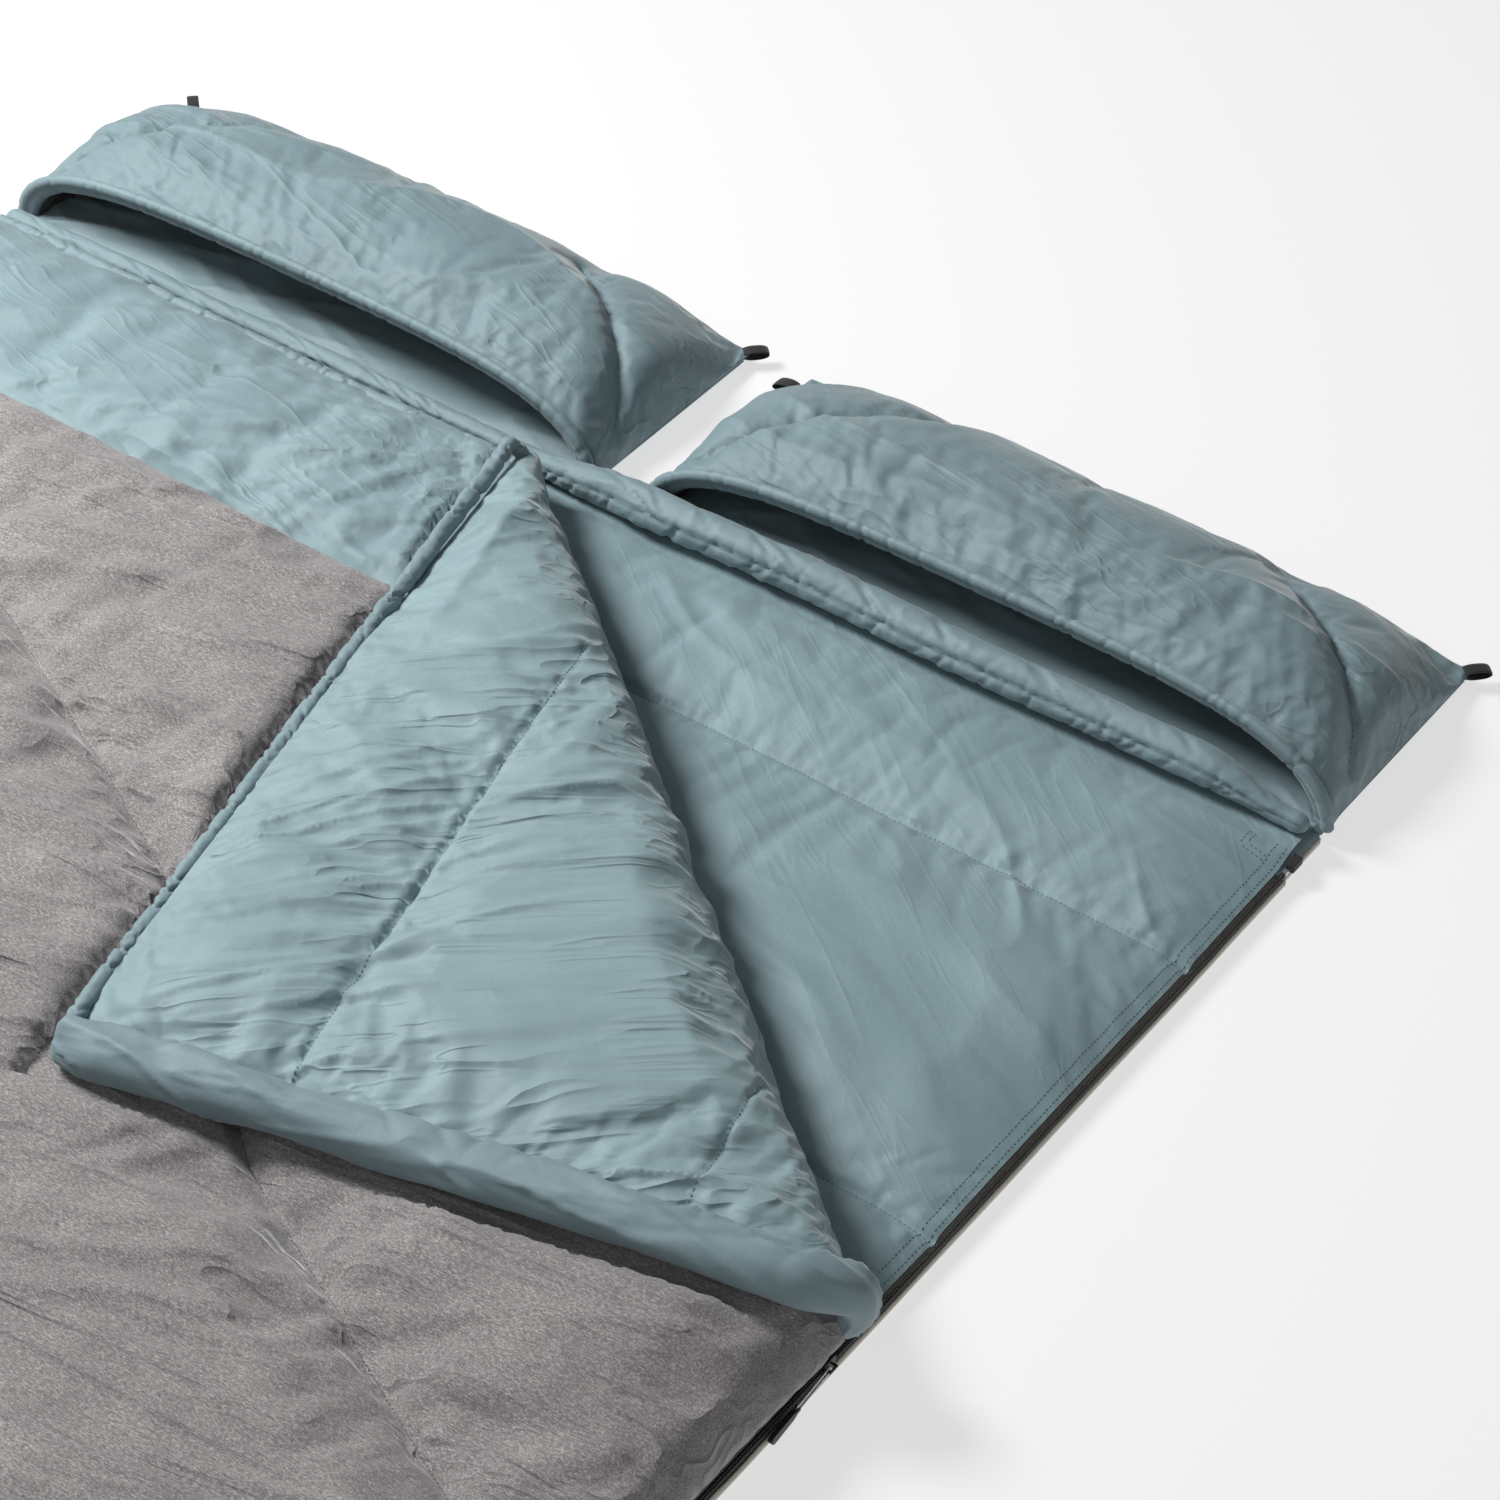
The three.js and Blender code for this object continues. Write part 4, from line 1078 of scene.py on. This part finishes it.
def corner_outer():
    """The corner's outer fabric, which lies against the bag while it is folded back."""
    head = HEAD_EDGE - 0.010
    near = APEX[0] + 0.004
    outline = [(near, from_side(near)), (SIDE, FOLD_AT_SIDE), (SIDE, head), (near, head)]
    lines = [[(fold_x(BAND_SEAM) + 0.002, BAND_SEAM), (SIDE - 0.001, BAND_SEAM)]]
    v, f, pin = patch(outline, lines, 0.012, seed=9)
    x, y = v[:, 0], v[:, 1]
    room = np.minimum(SIDE - x, head - y)
    z = FOLD_Z - 0.0002 + top_height(x, y) * smooth(room / 0.1)
    z = np.minimum(z, FOLD_Z - 0.0006) - 0.0035 * noise2(x * 7, y * 5, 61) ** 2
    z -= 0.012 * (1 - np.sqrt(smooth(room / 0.045)))
    s, n = to_fold(v)
    z = np.maximum(z, FOLD_Z - 0.0008 - 0.010 * smooth(n / 0.12))
    co = np.column_stack([from_fold(s, -n), 2 * FOLD_Z - z])
    obj = new_mesh("corner_outer", co, [tuple(reversed(face)) for face in f], JERSEY)
    obj.data.materials.append(TEAL_SHADED)
    band_faces(obj, v)
    refined(obj, pin)
    band = split_by_material(obj, "corner_outer_band_cover", 1)
    obj.name = "corner_outer_jersey_cover"
    place(obj, "corner", "jersey", "corner_outer_jersey", pad=0.5)
    place(band, "corner", "plain_fabric", "corner_outer_band", pad=0.5)


def corner_trims():
    """The draft tube along the corner's side, and the piped hem along its head edge."""
    z = middle_of("corner_draft_tube")[2] - 0.001
    x = SIDE + 0.0185
    start = FOLD_AT_SIDE + 0.012
    ends = [(x - 0.006, start), (x - 0.001, start + 0.05), (x, HEAD_EDGE - 0.05),
            (x - 0.003, HEAD_EDGE + 0.002)]
    lying = mirrored(dense([(*p, 0) for p in ends], 26)[:, :2])
    drop = np.interp(np.linspace(0, 1, 26), [0, 0.05, 0.15, 0.85, 1], [-0.008, -0.003, 0.0, 0.0, -0.005])
    end = np.array([SIDE, FOLD_AT_SIDE])
    path = [(SIDE + 0.0030, FOLD_AT_SIDE + 0.009, 0.0330)]
    path += [(*(end + ALONG * s + ACROSS * n), up)
             for s, n, up in ((0.004, 0.008, 0.048), (0.008, 0.014, 0.068), (0.008, 0.008, 0.090))]
    path += [(*p, z + d) for p, d in zip(lying, drop)]
    length = curve_table(path)[0][-1]
    seam = gathers(length, 0.031, 71, 0.8)
    long = gathers(length, 0.085, 72, 0.8)
    back = math.pi

    def size(s, a):
        left = length - s
        turn = (a - back + math.pi) % (2 * math.pi) - math.pi
        lumps = noise2(s * 15 + np.sin(a), np.cos(a) * 2, 74)
        r = np.interp(s, [0, 0.03, 0.065, 0.10, 0.20, length],
                      [0.0062, 0.0115, 0.0185, 0.0215, 0.0198, 0.0190])
        r = r * (1 + 0.04 * noise2(s * 6, np.cos(a), 73) + 0.04 * lumps)
        r -= 0.0026 * gather_field(s, a, seam, 0.0036, 0.022, 0.9, back - 0.3)
        r -= 0.0030 * gather_field(s, a, long, 0.0070, 0.075, 2.0, back)
        r += 0.0034 * creases(s + a * 0.02, a * 0.022 - s * 0.25, 77, 7, 50, 2.8, 0.3)
        r += 0.0022 * creases(s - a * 0.02, a * 0.022 + s * 0.15, 78, 9, 80, 2.4, 0.2)
        r = r * (1 + 0.16 * smooth(s / 0.12) * np.cos(a) ** 2)
        # the free end is folded flat to a slanting point
        shut = smooth(1 - left / 0.05)
        r = r * (1 - shut * 0.60 * np.abs(np.cos(a - 0.7)) ** 1.5)
        return r - 0.0010 * np.exp(-(turn / 0.2) ** 2)

    obj = tube("corner_draft_tube_cover", path, size, TEAL_SHADED, ring=44, step=0.0028, up=(0.23, -0.97, 0.0),
               ends=0.5)
    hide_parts("corner_draft_tube")
    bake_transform(obj)

    hem_y = HEAD_EDGE - 0.007
    hem_z = middle_of("corner_head_hem")[2]
    line = mirrored(dense([(APEX[0] + 0.014, hem_y, 0), (SIDE + 0.004, hem_y, 0)], 40)[:, :2])
    path = [(*p, hem_z + 0.0015 * noise2(np.array(i * 0.35), np.array(0.0), 75).item())
            for i, p in enumerate(line)]
    obj = piping("corner_head_hem_cover", path, (0.0120, 76, 0.7), (0.0048, 0.0016, 0.0120, 2.6, 0.0),
                 wave=(0.16, 42, 0.6, 77), step=0.002)
    place(obj, "corner", "plain_fabric", "corner_head_hem", pad=0.5)

    _, y, z = middle_of("top_head_hem")
    path = [(x, y, z + 0.002 * noise2(np.array(x * 12), np.array(0.0), 78).item())
            for x in np.linspace(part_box("top_head_hem")[0].x, APEX[0] - 0.014, 50)]
    obj = piping("top_head_hem_cover", path, (0.0130, 79, 0.7), (0.0030, 0.0018, 0.012, 2.4, 0.4),
                 wave=(0.12, 35, 0, 80), step=0.002)
    place(obj, "bag", "plain_fabric", "top_head_hem", pad=0.5)
    # the hem's turn at the apex, from the lying part up to the folded one
    low, top = np.array(path[-1]), mirrored([APEX[0] + 0.014, hem_y])
    between = (low[:2] + top) / 2 + np.array([0.009, 0.004])
    turn = [low - np.array([0.012, 0, 0]), low, (*between, (low[2] + hem_z) / 2), (*top, hem_z),
            (*mirrored([APEX[0] + 0.026, hem_y]), hem_z)]
    obj = piping("hem_turn", turn, (0.009, 81), (0.0036, 0.0019, 0.003, 3.0, 0.0), radius=0.0074, step=0.0015)
    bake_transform(obj)


def corner_zip():
    paint("right_zip_corner_tape", BLACK_WEB)
    paint("right_zip_corner_stop", STEEL)
    ys = np.arange(FOLD_AT_SIDE + 0.03, HEAD_EDGE - 0.013, COIL_PITCH)
    pts = mirrored(np.column_stack([np.full(len(ys), SIDE + 0.0163 + 0.0022), ys]))
    obj = coil("corner_zip_coil", [(*p, FOLD_Z + 0.0025) for p in pts], (*(pts[1] - pts[0]), 0), (0, 0, 1))
    place(obj, "corner", "zip_teeth", "right_zip_corner_teeth")


def paint(cad, material):
    """Gives a CAD part that stays visible its material."""
    materials = frame["nodes"][cad].data.materials
    materials.clear()
    materials.append(material)


# ---------------------------------------------------------------- hoods
# RIDGE is a hood's middle from front to back: distance from the mouth, and height.
HOOD_WIDTH = hood_hi.x - hood_lo.x
HOOD_FRONT = hood_lo.y
MOUTH = HOOD_FRONT + 0.014  # the top's front edge
RIM_Z = 0.0125  # where a hood's top meets its floor
RIDGE = curve_table([(0.000, 0.1000), (0.034, 0.1120), (0.074, 0.1180), (0.124, 0.1100), (0.170, 0.0900),
                     (0.208, 0.0650), (0.234, 0.0400), (0.2425, 0.0180)])


def shoulder():
    """Half of a hood seen from its mouth, by arc length: distance from the middle, and height's share."""
    half, tall = HOOD_WIDTH / 2, 0.085
    angle = np.linspace(0, math.pi / 2, 600)
    x = half * np.sin(angle) ** (2 / 5.0)
    h = np.cos(angle) ** (2 / 2.4)
    q = np.stack([x, h * tall], 1)
    s = np.concatenate([[0], np.cumsum(np.linalg.norm(np.diff(q, axis=0), axis=1))])
    return s, np.stack([x, h], 1)


SHOULDER = shoulder()


def hood_point(a, b, rim=RIM_Z, inset=0.0):
    """Plan offset and height of the hood's surface at domain a (across) and b (from front to back)."""
    sh = at(SHOULDER, np.clip(np.abs(a), 0, SHOULDER[0][-1]))
    rd = at(RIDGE, np.clip(b, 0, RIDGE[0][-1]))
    x = np.sign(a) * (sh[..., 0] - inset)
    bow = 0.010 * (1 - (x / (HOOD_WIDTH / 2)) ** 2) * (1 - smooth(rd[..., 0] / 0.06))
    y = rd[..., 0] + bow
    z = rim + (rd[..., 1] - inset - rim) * sh[..., 1]
    return x, y, z


def lowered(x, y, z, rim=RIM_Z):
    """The hood lies lower towards its two back corners."""
    low = np.exp(-((HOOD_WIDTH / 2 - np.abs(x)) ** 2 + (0.243 - y) ** 2) / 0.075 ** 2)
    return rim + (z - rim) * (1 - 0.55 * low)


def hood_domain(x, y):
    a = np.interp(np.abs(x), SHOULDER[1][:, 0], SHOULDER[0]) * np.sign(x)
    b = np.interp(y, RIDGE[1][:, 0], RIDGE[0])
    return a, b


HOOD_LINES = [
    [(-0.3265, 0.028), (-0.255, 0.106), (-0.1695, 0.200)],
    [(0.1835, 0.201), (0.2315, 0.165), (0.2765, 0.126), (0.3115, 0.094), (0.3365, 0.064), (0.3500, 0.036)],
]


def on_hood(line, count):
    """A plan line on a hood, from its middle and mouth."""
    return dense([(*q, 0) for q in line], count)[:, :2]


def hood_top(side, cx, seed):
    half, deep = SHOULDER[0][-1], RIDGE[0][-1]
    outline = [(-half, 0), (half, 0), (half, deep), (-half, deep)]
    lines = [list(zip(*hood_domain(*on_hood(line, 16).T))) for line in HOOD_LINES]
    v, f, pin = patch(outline, lines, 0.0068, seed=seed)
    x, y, z = hood_point(v[:, 0], v[:, 1])
    seam = np.full(len(v), FAR)
    for line in HOOD_LINES:
        for p in on_hood(line, 80):
            seam = np.minimum(seam, np.hypot(x - p[0], y - p[1]))
    room = np.minimum(half - np.abs(v[:, 0]), np.minimum(v[:, 1], deep - v[:, 1]))
    z = z - 0.0120 * np.exp(-seam / 0.020) * smooth(room / 0.03)
    z = z - 0.0085 * np.exp(-v[:, 1] / 0.012)
    z = z + 0.004 * noise2(x * 6 + seed, y * 6, 90 + seed) * smooth(room / 0.08)
    z = lowered(x, y, z)
    z = z + (~pin) * 0.0026 * folds(x + 0.5 * y, y - 0.25 * x, 91 + seed, 4.0, 26) * smooth(room / 0.03)
    z = np.maximum(z, 0.006)
    obj = new_mesh(side + "_hood_top", np.column_stack([x + cx, y + MOUTH, z]), f, TEAL_HOOD_SHADED)
    sewn_cloth(obj, pin, frames=16, slack=-0.022, pressure=3.8, bend=0.8, limit=0.016)
    refined(obj, pin)
    place(obj, "bag", "plain_fabric", side + "_hood_top_outer", side + "_hood_top_filling", pad=0.6)
    shifted = [[(q[0] + cx, q[1] + MOUTH) for q in line] for line in HOOD_LINES]
    co = puckers(coords(obj), shifted, 0.0034, 0.013, 0.014, 92 + seed, 0.0035, 0.006)
    u, w = co[:, 0] - cx, co[:, 1] - MOUTH
    room = smooth(w / 0.02) * smooth((co[:, 2] - 0.025) / 0.03)
    co[:, 2] += room * (0.0044 * creases(u + 0.6 * w, w - 0.18 * u, 94 + seed, 2.6, 20, 3.2, 0.3)
                        + 0.0022 * creases(u - 0.3 * w, w + 0.12 * u, 99 + seed, 4, 36, 2.8, 0.1))
    ruffle = noise2((co[:, 0] + 0.6 * w) / 0.013, w * 14, 93 + seed)
    co[:, 2] += 0.0026 * ruffle * np.exp(-np.abs(w - 0.012) / 0.03) * smooth((co[:, 2] - 0.03) / 0.03)
    co[:, 2] = np.maximum(co[:, 2], 0.002)
    set_coords(obj, co)
    sewn = [[(q[0] + cx, q[1] + MOUTH, 0.14) for q in on_hood(line, 50)] for line in HOOD_LINES]
    place(stitches(side + "_hood_stitches", sewn, surface_of(obj), TEAL_THREAD), "bag", "plain_fabric")


def hood_floor(side, cx, seed):
    lo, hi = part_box(side + "_hood_floor_outer")
    u, v = np.meshgrid(np.linspace(-1, 1, 190), np.linspace(-1, 1, 70), indexing="ij")
    x = (hi.x - lo.x) / 2 * np.sign(u) * np.abs(np.sin(u * math.pi / 2)) ** 0.9
    y = (lo.y + hi.y) / 2 + (hi.y - lo.y) / 2 * np.sign(v) * np.abs(np.sin(v * math.pi / 2)) ** 0.9
    room = np.minimum((hi.x - lo.x) / 2 - np.abs(x), np.minimum(y - lo.y + 0.01, hi.y - y))
    crown = 0.0115 + 0.0135 * np.sqrt(smooth(room / 0.03))
    soft = 0.0050 * folds(x + 0.9 * y, y - 0.25 * x, 97 + seed, 5, 22, 1.1)
    soft += 0.0042 * creases(x + 1.2 * y, y - 0.30 * x, 98 + seed, 5, 30, 2.6, 0.4)
    soft += 0.0024 * creases(x - 0.5 * y, y + 0.35 * x, 87 + seed, 7, 44, 2.4, 0.3)
    crown = crown + soft * smooth(room / 0.02)
    under = 0.0105 * (1 - np.sqrt(smooth(room / 0.012)))
    upper, lower = [np.stack([x + cx, y, z], -1) for z in (crown, under)]
    obj = slab_mesh(side + "_hood_floor", upper, lower, TEAL_SHADED)
    cads = [f"{side}_hood_floor_{k}" for k in ("outer", "filling", "lining")]
    place(obj, "bag", "plain_fabric", *cads, pad=0.5)


def hood(side, seed):
    cx = middle_of(side + "_hood_floor_outer")[0]
    half, deep = SHOULDER[0][-1], RIDGE[0][-1]
    hood_top(side, cx, seed)
    # inner lining
    across, back = np.meshgrid(np.linspace(-half, half, 150), np.linspace(0, deep, 60), indexing="ij")
    x, y, z = hood_point(across, back, rim=0.020, inset=0.0165)
    z = lowered(x, y, z, 0.020) - 0.004 * smooth((y - 0.17) / 0.05)
    y = np.minimum(y, 0.236) + 0.004
    z = z + 0.003 * noise2(x * 14, y * 14, 95 + seed) + 0.0015 * noise2(x * 40, y * 22, 96)
    inner = grid_mesh(side + "_hood_inner", x + cx, y + HOOD_FRONT + 0.004, z, LINING)
    place(inner, "bag", "hood_lining", side + "_hood_top_lining", pad=0.4)
    # mouth hem
    along = np.linspace(-1, 1, 90) * half
    x, y, z = hood_point(along, np.zeros_like(along), rim=0.014)
    path = np.column_stack([x * 0.994 + cx, HOOD_FRONT + 0.006 + y, np.maximum(z - 0.006, 0.0115)])
    hem = piping(side + "_hood_hem", path, (0.0125, 100 + seed, 0.7),
                 (0.0017, 0.0015, 0.006, 2.6, math.pi * 0.5), wave=(0.05, 28, 0, 101), flat=0.42,
                 steps=800, ring=24, step=0.0022, ends=0.6)
    place(hem, "bag", "plain_fabric", side + "_hood_mouth_hem", pad=0.5)
    hood_floor(side, cx, seed)


# ---------------------------------------------------------------- zips, pulls and loops
def coil(name, centres, step, up):
    """The turns of one side of a coil zip: a small bent loop at each centre."""
    width, height, wire = 0.0044, 0.0030, 0.00055
    t, u = unit(np.array(step, float)), np.array(up, float)
    b = np.cross(t, u)
    shape = [(width / 2 * math.cos(g), height * math.sin(g) - height / 2)
             for g in (math.pi * k / 6 for k in range(7))]
    faces_of_one = tube_faces(len(shape), 4)
    verts, faces = [], []
    for c in np.array(centres):
        faces += [tuple(len(verts) + k for k in f) for f in faces_of_one]
        for i, (w, h) in enumerate(shape):
            p = c + b * w + u * h + t * (0.0004 * (i - 3) / 3)
            out = unit(b * w / (width / 2) + u * (h + height / 2) / height)
            verts += [p + out * wire, p + t * wire, p - out * wire, p - t * wire]
    return new_mesh(name, verts, faces, BLACK_COIL)


def rim_lip(side):
    """The underside fabric turned up over the lower half of the zip's tape."""
    ys = np.linspace(FOOT + 0.01, NECK - 0.022, 420)
    out = side * (SIDE + 0.0022 + 0.0006 * noise2(ys * 11, ys * 0, 110))
    top = 0.0078 + 0.0012 * noise2(ys * 9, ys * 0 + 2, 111) + 0.0005 * noise2(ys * 60, ys * 0 + 2, 112)
    # across and up; None is the lip's own top
    section = [(-0.0004, 0.0006), (0.0009, 0.0012), (0.0012, 0.0045), (0.0006, None), (-0.0002, None),
               (-0.0002, 0.0045), (-0.0008, 0.0016)]
    verts = []
    for o, t, y in zip(out, top, ys):
        verts += [(o + side * dx, y, t if dz is None else dz) for dx, dz in section]
    faces = tube_faces(len(ys), len(section))
    if side > 0:
        faces = [f[::-1] for f in faces]
    lip = new_mesh("rim_lip_" + ("right" if side > 0 else "left"), verts, faces, BEIGE)
    place(lip, "bag", "underside_fabric")


def corner_tab(side):
    """The lining's turned corner beyond the end of the neck roll."""
    x0, x1 = 0.690, SIDE + 0.0004  # from under the roll to the side
    y0, y1 = NECK - 0.026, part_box("base_outer")[1].y
    u, v = np.meshgrid(np.linspace(0, 1, 40), np.linspace(0, 1, 44), indexing="ij")
    px, py = x0 + (x1 - x0) * u, y0 + (y1 - y0) * v
    room = np.minimum((x1 - px), (y1 - py))
    z = 0.0085 + 0.0125 * np.sqrt(smooth(room / 0.03))
    z = z + 0.0012 * noise2(px * 60, py * 60, 113) * smooth(room / 0.01)
    px = px - 0.0015 * (1 - smooth(room / 0.004)) * (px > 0.74)
    tab = grid_mesh("corner_tab_" + ("right" if side > 0 else "left"), side * px, py, z, TEAL_SHADED)
    if side < 0:
        tab.data.flip_normals()
    place(tab, "bag", "plain_fabric")


def wire_link(side, droop=math.radians(8)):
    """A long closed loop of wire that hangs from the slider."""
    lo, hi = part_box(f"{side}_zip_pull_link")
    top = np.array([(lo.x + hi.x) / 2, hi.y - 0.0008, 0.018])
    width, length, bend = 0.0027, 0.0424, 0.0018
    ring = [(math.cos(g) * width, math.sin(g) * bend - bend) for g in np.linspace(0, math.pi, 9)]
    ring += [(math.cos(g) * width, math.sin(g) * bend - length + bend)
             for g in np.linspace(math.pi, 2 * math.pi, 9)]
    c, s = math.cos(droop), math.sin(droop)
    pts = [top + np.array([0, y * c - w * s, y * s + w * c]) for w, y in ring]
    place(closed_wire(f"{side}_wire_link", pts, 0.0008, STEEL), f"{side}_pull_link", "steel",
          f"{side}_zip_pull_link")


def zips():
    for side in (1, -1):
        rim_lip(side)
        corner_tab(side)
    for side in ("right", "left"):
        for level, up, offset in (("base", 1, 0), ("top", -1, COIL_PITCH / 2)):
            teeth = f"{side}_zip_{level}_teeth"
            lo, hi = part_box(teeth)
            ys = np.arange(lo.y + (COIL_PITCH / 2 + offset), hi.y, COIL_PITCH)
            x, z = (lo.x + hi.x) / 2, (lo.z + hi.z) / 2
            obj = coil(f"{side}_{level}_coil", [(x, y, z) for y in ys], (0, 1, 0), (0, 0, up))
            place(obj, "bag", "zip_teeth", teeth)
            paint(f"{side}_zip_{level}_tape", BLACK_WEB)
        for stop in ("foot", "head"):
            paint(f"{side}_zip_{stop}_stop", STEEL)
        for cad, name, body, width in (("slider", "slider_body", "slider", 0.0005),
                                       ("pull_tab", "tab_body", "pull_tab", 0.0009)):
            bevelled(f"{side}_zip_{cad}", f"{side}_{name}", f"{side}_{body}", BLACK_PLASTIC,
                     "black_plastic", width)
        wire_link(side)
    bevelled("right_zip_tape_end", "right_tape_end", "bag", BLACK_WEB, "webbing", 0.0012)


def closed_wire(name, points, radius, material, ring=10):
    p = np.array(points)
    p = p[[0] + [i for i in range(1, len(p)) if np.linalg.norm(p[i] - p[i - 1]) > 1e-5]]
    if np.linalg.norm(p[0] - p[-1]) < 1e-5:
        p = p[:-1]
    centre = p.mean(0)
    tan = unit(np.roll(p, -1, 0) - np.roll(p, 1, 0))
    plane = unit(np.cross(p[0] - centre, p[len(p) // 4] - centre))
    side = unit(np.cross(tan, plane))
    angles = [2 * math.pi * j / ring for j in range(ring)]
    verts = [q + radius * (math.cos(g) * s + math.sin(g) * plane) for q, s in zip(p, side) for g in angles]
    return new_mesh(name, verts, ring_faces(len(p), ring, wrap=True), material)


def bevelled(cad, name, body, material, slot, width):
    """A rounded copy of a small moulded CAD part."""
    obj = bpy.data.objects.new(name, frame["nodes"][cad].data.copy())
    scene.collection.objects.link(obj)
    obj.data.materials.clear()
    obj.data.materials.append(material)
    weld = obj.modifiers.new("weld", "WELD")
    weld.merge_threshold = 1e-6
    mod = obj.modifiers.new("bevel", "BEVEL")
    mod.width, mod.segments, mod.limit_method, mod.angle_limit = width, 3, "ANGLE", math.radians(35)
    baked(obj)
    obj.data.polygons.foreach_set("use_smooth", np.ones(len(obj.data.polygons), bool))
    obj.modifiers.new("normals", "WEIGHTED_NORMAL")
    place(obj, body, slot, cad)


def loops():
    """Webbing hanging loops: a strap folded on itself, its ends in the seam."""
    length, half, thick, cols = 0.0242, 0.006, 0.0015, 9
    # out from the seam, and up; the strap comes back the same way below
    shape = [(0.0, 0.0022), (0.006, 0.0038), (0.013, 0.0040), (0.019, 0.0034), (0.0230, 0.0018),
             (length, 0.0)]
    shape = shape + [(x, -z) for x, z in reversed(shape[:-1])]
    table = curve_table(shape, 60)
    c = at(table, np.linspace(0, table[0][-1], 44))
    tan = unit(np.gradient(c, axis=0))
    nor = np.stack([-tan[:, 1], tan[:, 0]], 1)
    w = np.arange(cols) / (cols - 1) * 2 - 1
    rib = 0.00012 * np.cos(np.arange(cols) * math.pi)
    reach = (thick / 2 + rib) * (1 - 0.5 * np.abs(w) ** 6)
    for joint in frame["joints"]:
        if "_loop_" not in joint["name"]:
            continue
        body = joint["child"]
        ax = np.array(joint["axis"])
        root = np.array(joint["pos_m"]) - np.array([0, 0, 0.0046])
        heading, across = np.array([-ax[1], ax[0], 0.0]), np.array([ax[0], ax[1], 0.0])
        sag = -0.004 if joint["name"] == "right_loop_inner_lift" else 0.0
        layers = []
        for layer in (1, -1):
            q = c[:, None] + nor[:, None] * (layer * reach)[:, None]
            rise = (q[..., 1] + sag * (q[..., 0] / length) ** 2)[..., None] * np.array([0, 0, 1.0])
            layers.append(root + heading * q[..., :1] + across * (w * half)[:, None] + rise)
        obj = slab_mesh(body + "_webbing", *layers, BLACK_WEB)
        place(obj, body, "webbing", frame["record"]["behaviour"]["bodies"][body][0])


# ---------------------------------------------------------------- assembly
base_body()
base_lining()
neck_roll()
top_outer()
corner_lining()
corner_outer()
corner_trims()
corner_zip()
hood("left", 13)
hood("right", 14)
zips()
loops()

# ---------------------------------------------------------------- floor and light
floor_mat, _, floor_bsdf = nodes_of("floor", 0.95, color=(0.25, 0.25, 0.25))
floor_bsdf.inputs["Specular IOR Level"].default_value = 0.1
floor_bsdf.inputs["Emission Color"].default_value = (1, 1, 1, 1)
floor_bsdf.inputs["Emission Strength"].default_value = 0.65
floor = new_mesh("floor", [(-30, -30, -0.0005), (30, -30, -0.0005), (30, 30, -0.0005), (-30, 30, -0.0005)],
                 [(0, 1, 2, 3)], floor_mat, shade=False)


def area_light(name, where, target, size, power, color=(1, 1, 1)):
    data = bpy.data.lights.new(name, "AREA")
    data.shape, data.size, data.energy, data.color = "DISK", size, power, color
    obj = bpy.data.objects.new(name, data)
    obj.location = where
    obj.rotation_mode = "QUATERNION"
    obj.rotation_quaternion = (Vector(target) - Vector(where)).to_track_quat("-Z", "Y")
    scene.collection.objects.link(obj)


area_light("key", (-1.88, 0.15, 2.40), (0.15, 0.35, 0), 1.15, 148, (1.0, 0.995, 0.985))
area_light("fill", (1.6, -3.2, 3.6), (0.2, 0.4, 0), 4.0, 42, (0.97, 0.985, 1.0))
world = bpy.data.worlds.new("studio")
world.use_nodes = True
world.node_tree.nodes["Background"].inputs["Color"].default_value = (1, 1, 1, 1)
world.node_tree.nodes["Background"].inputs["Strength"].default_value = 0.17
scene.world = world
scene.view_settings.view_transform = "Standard"
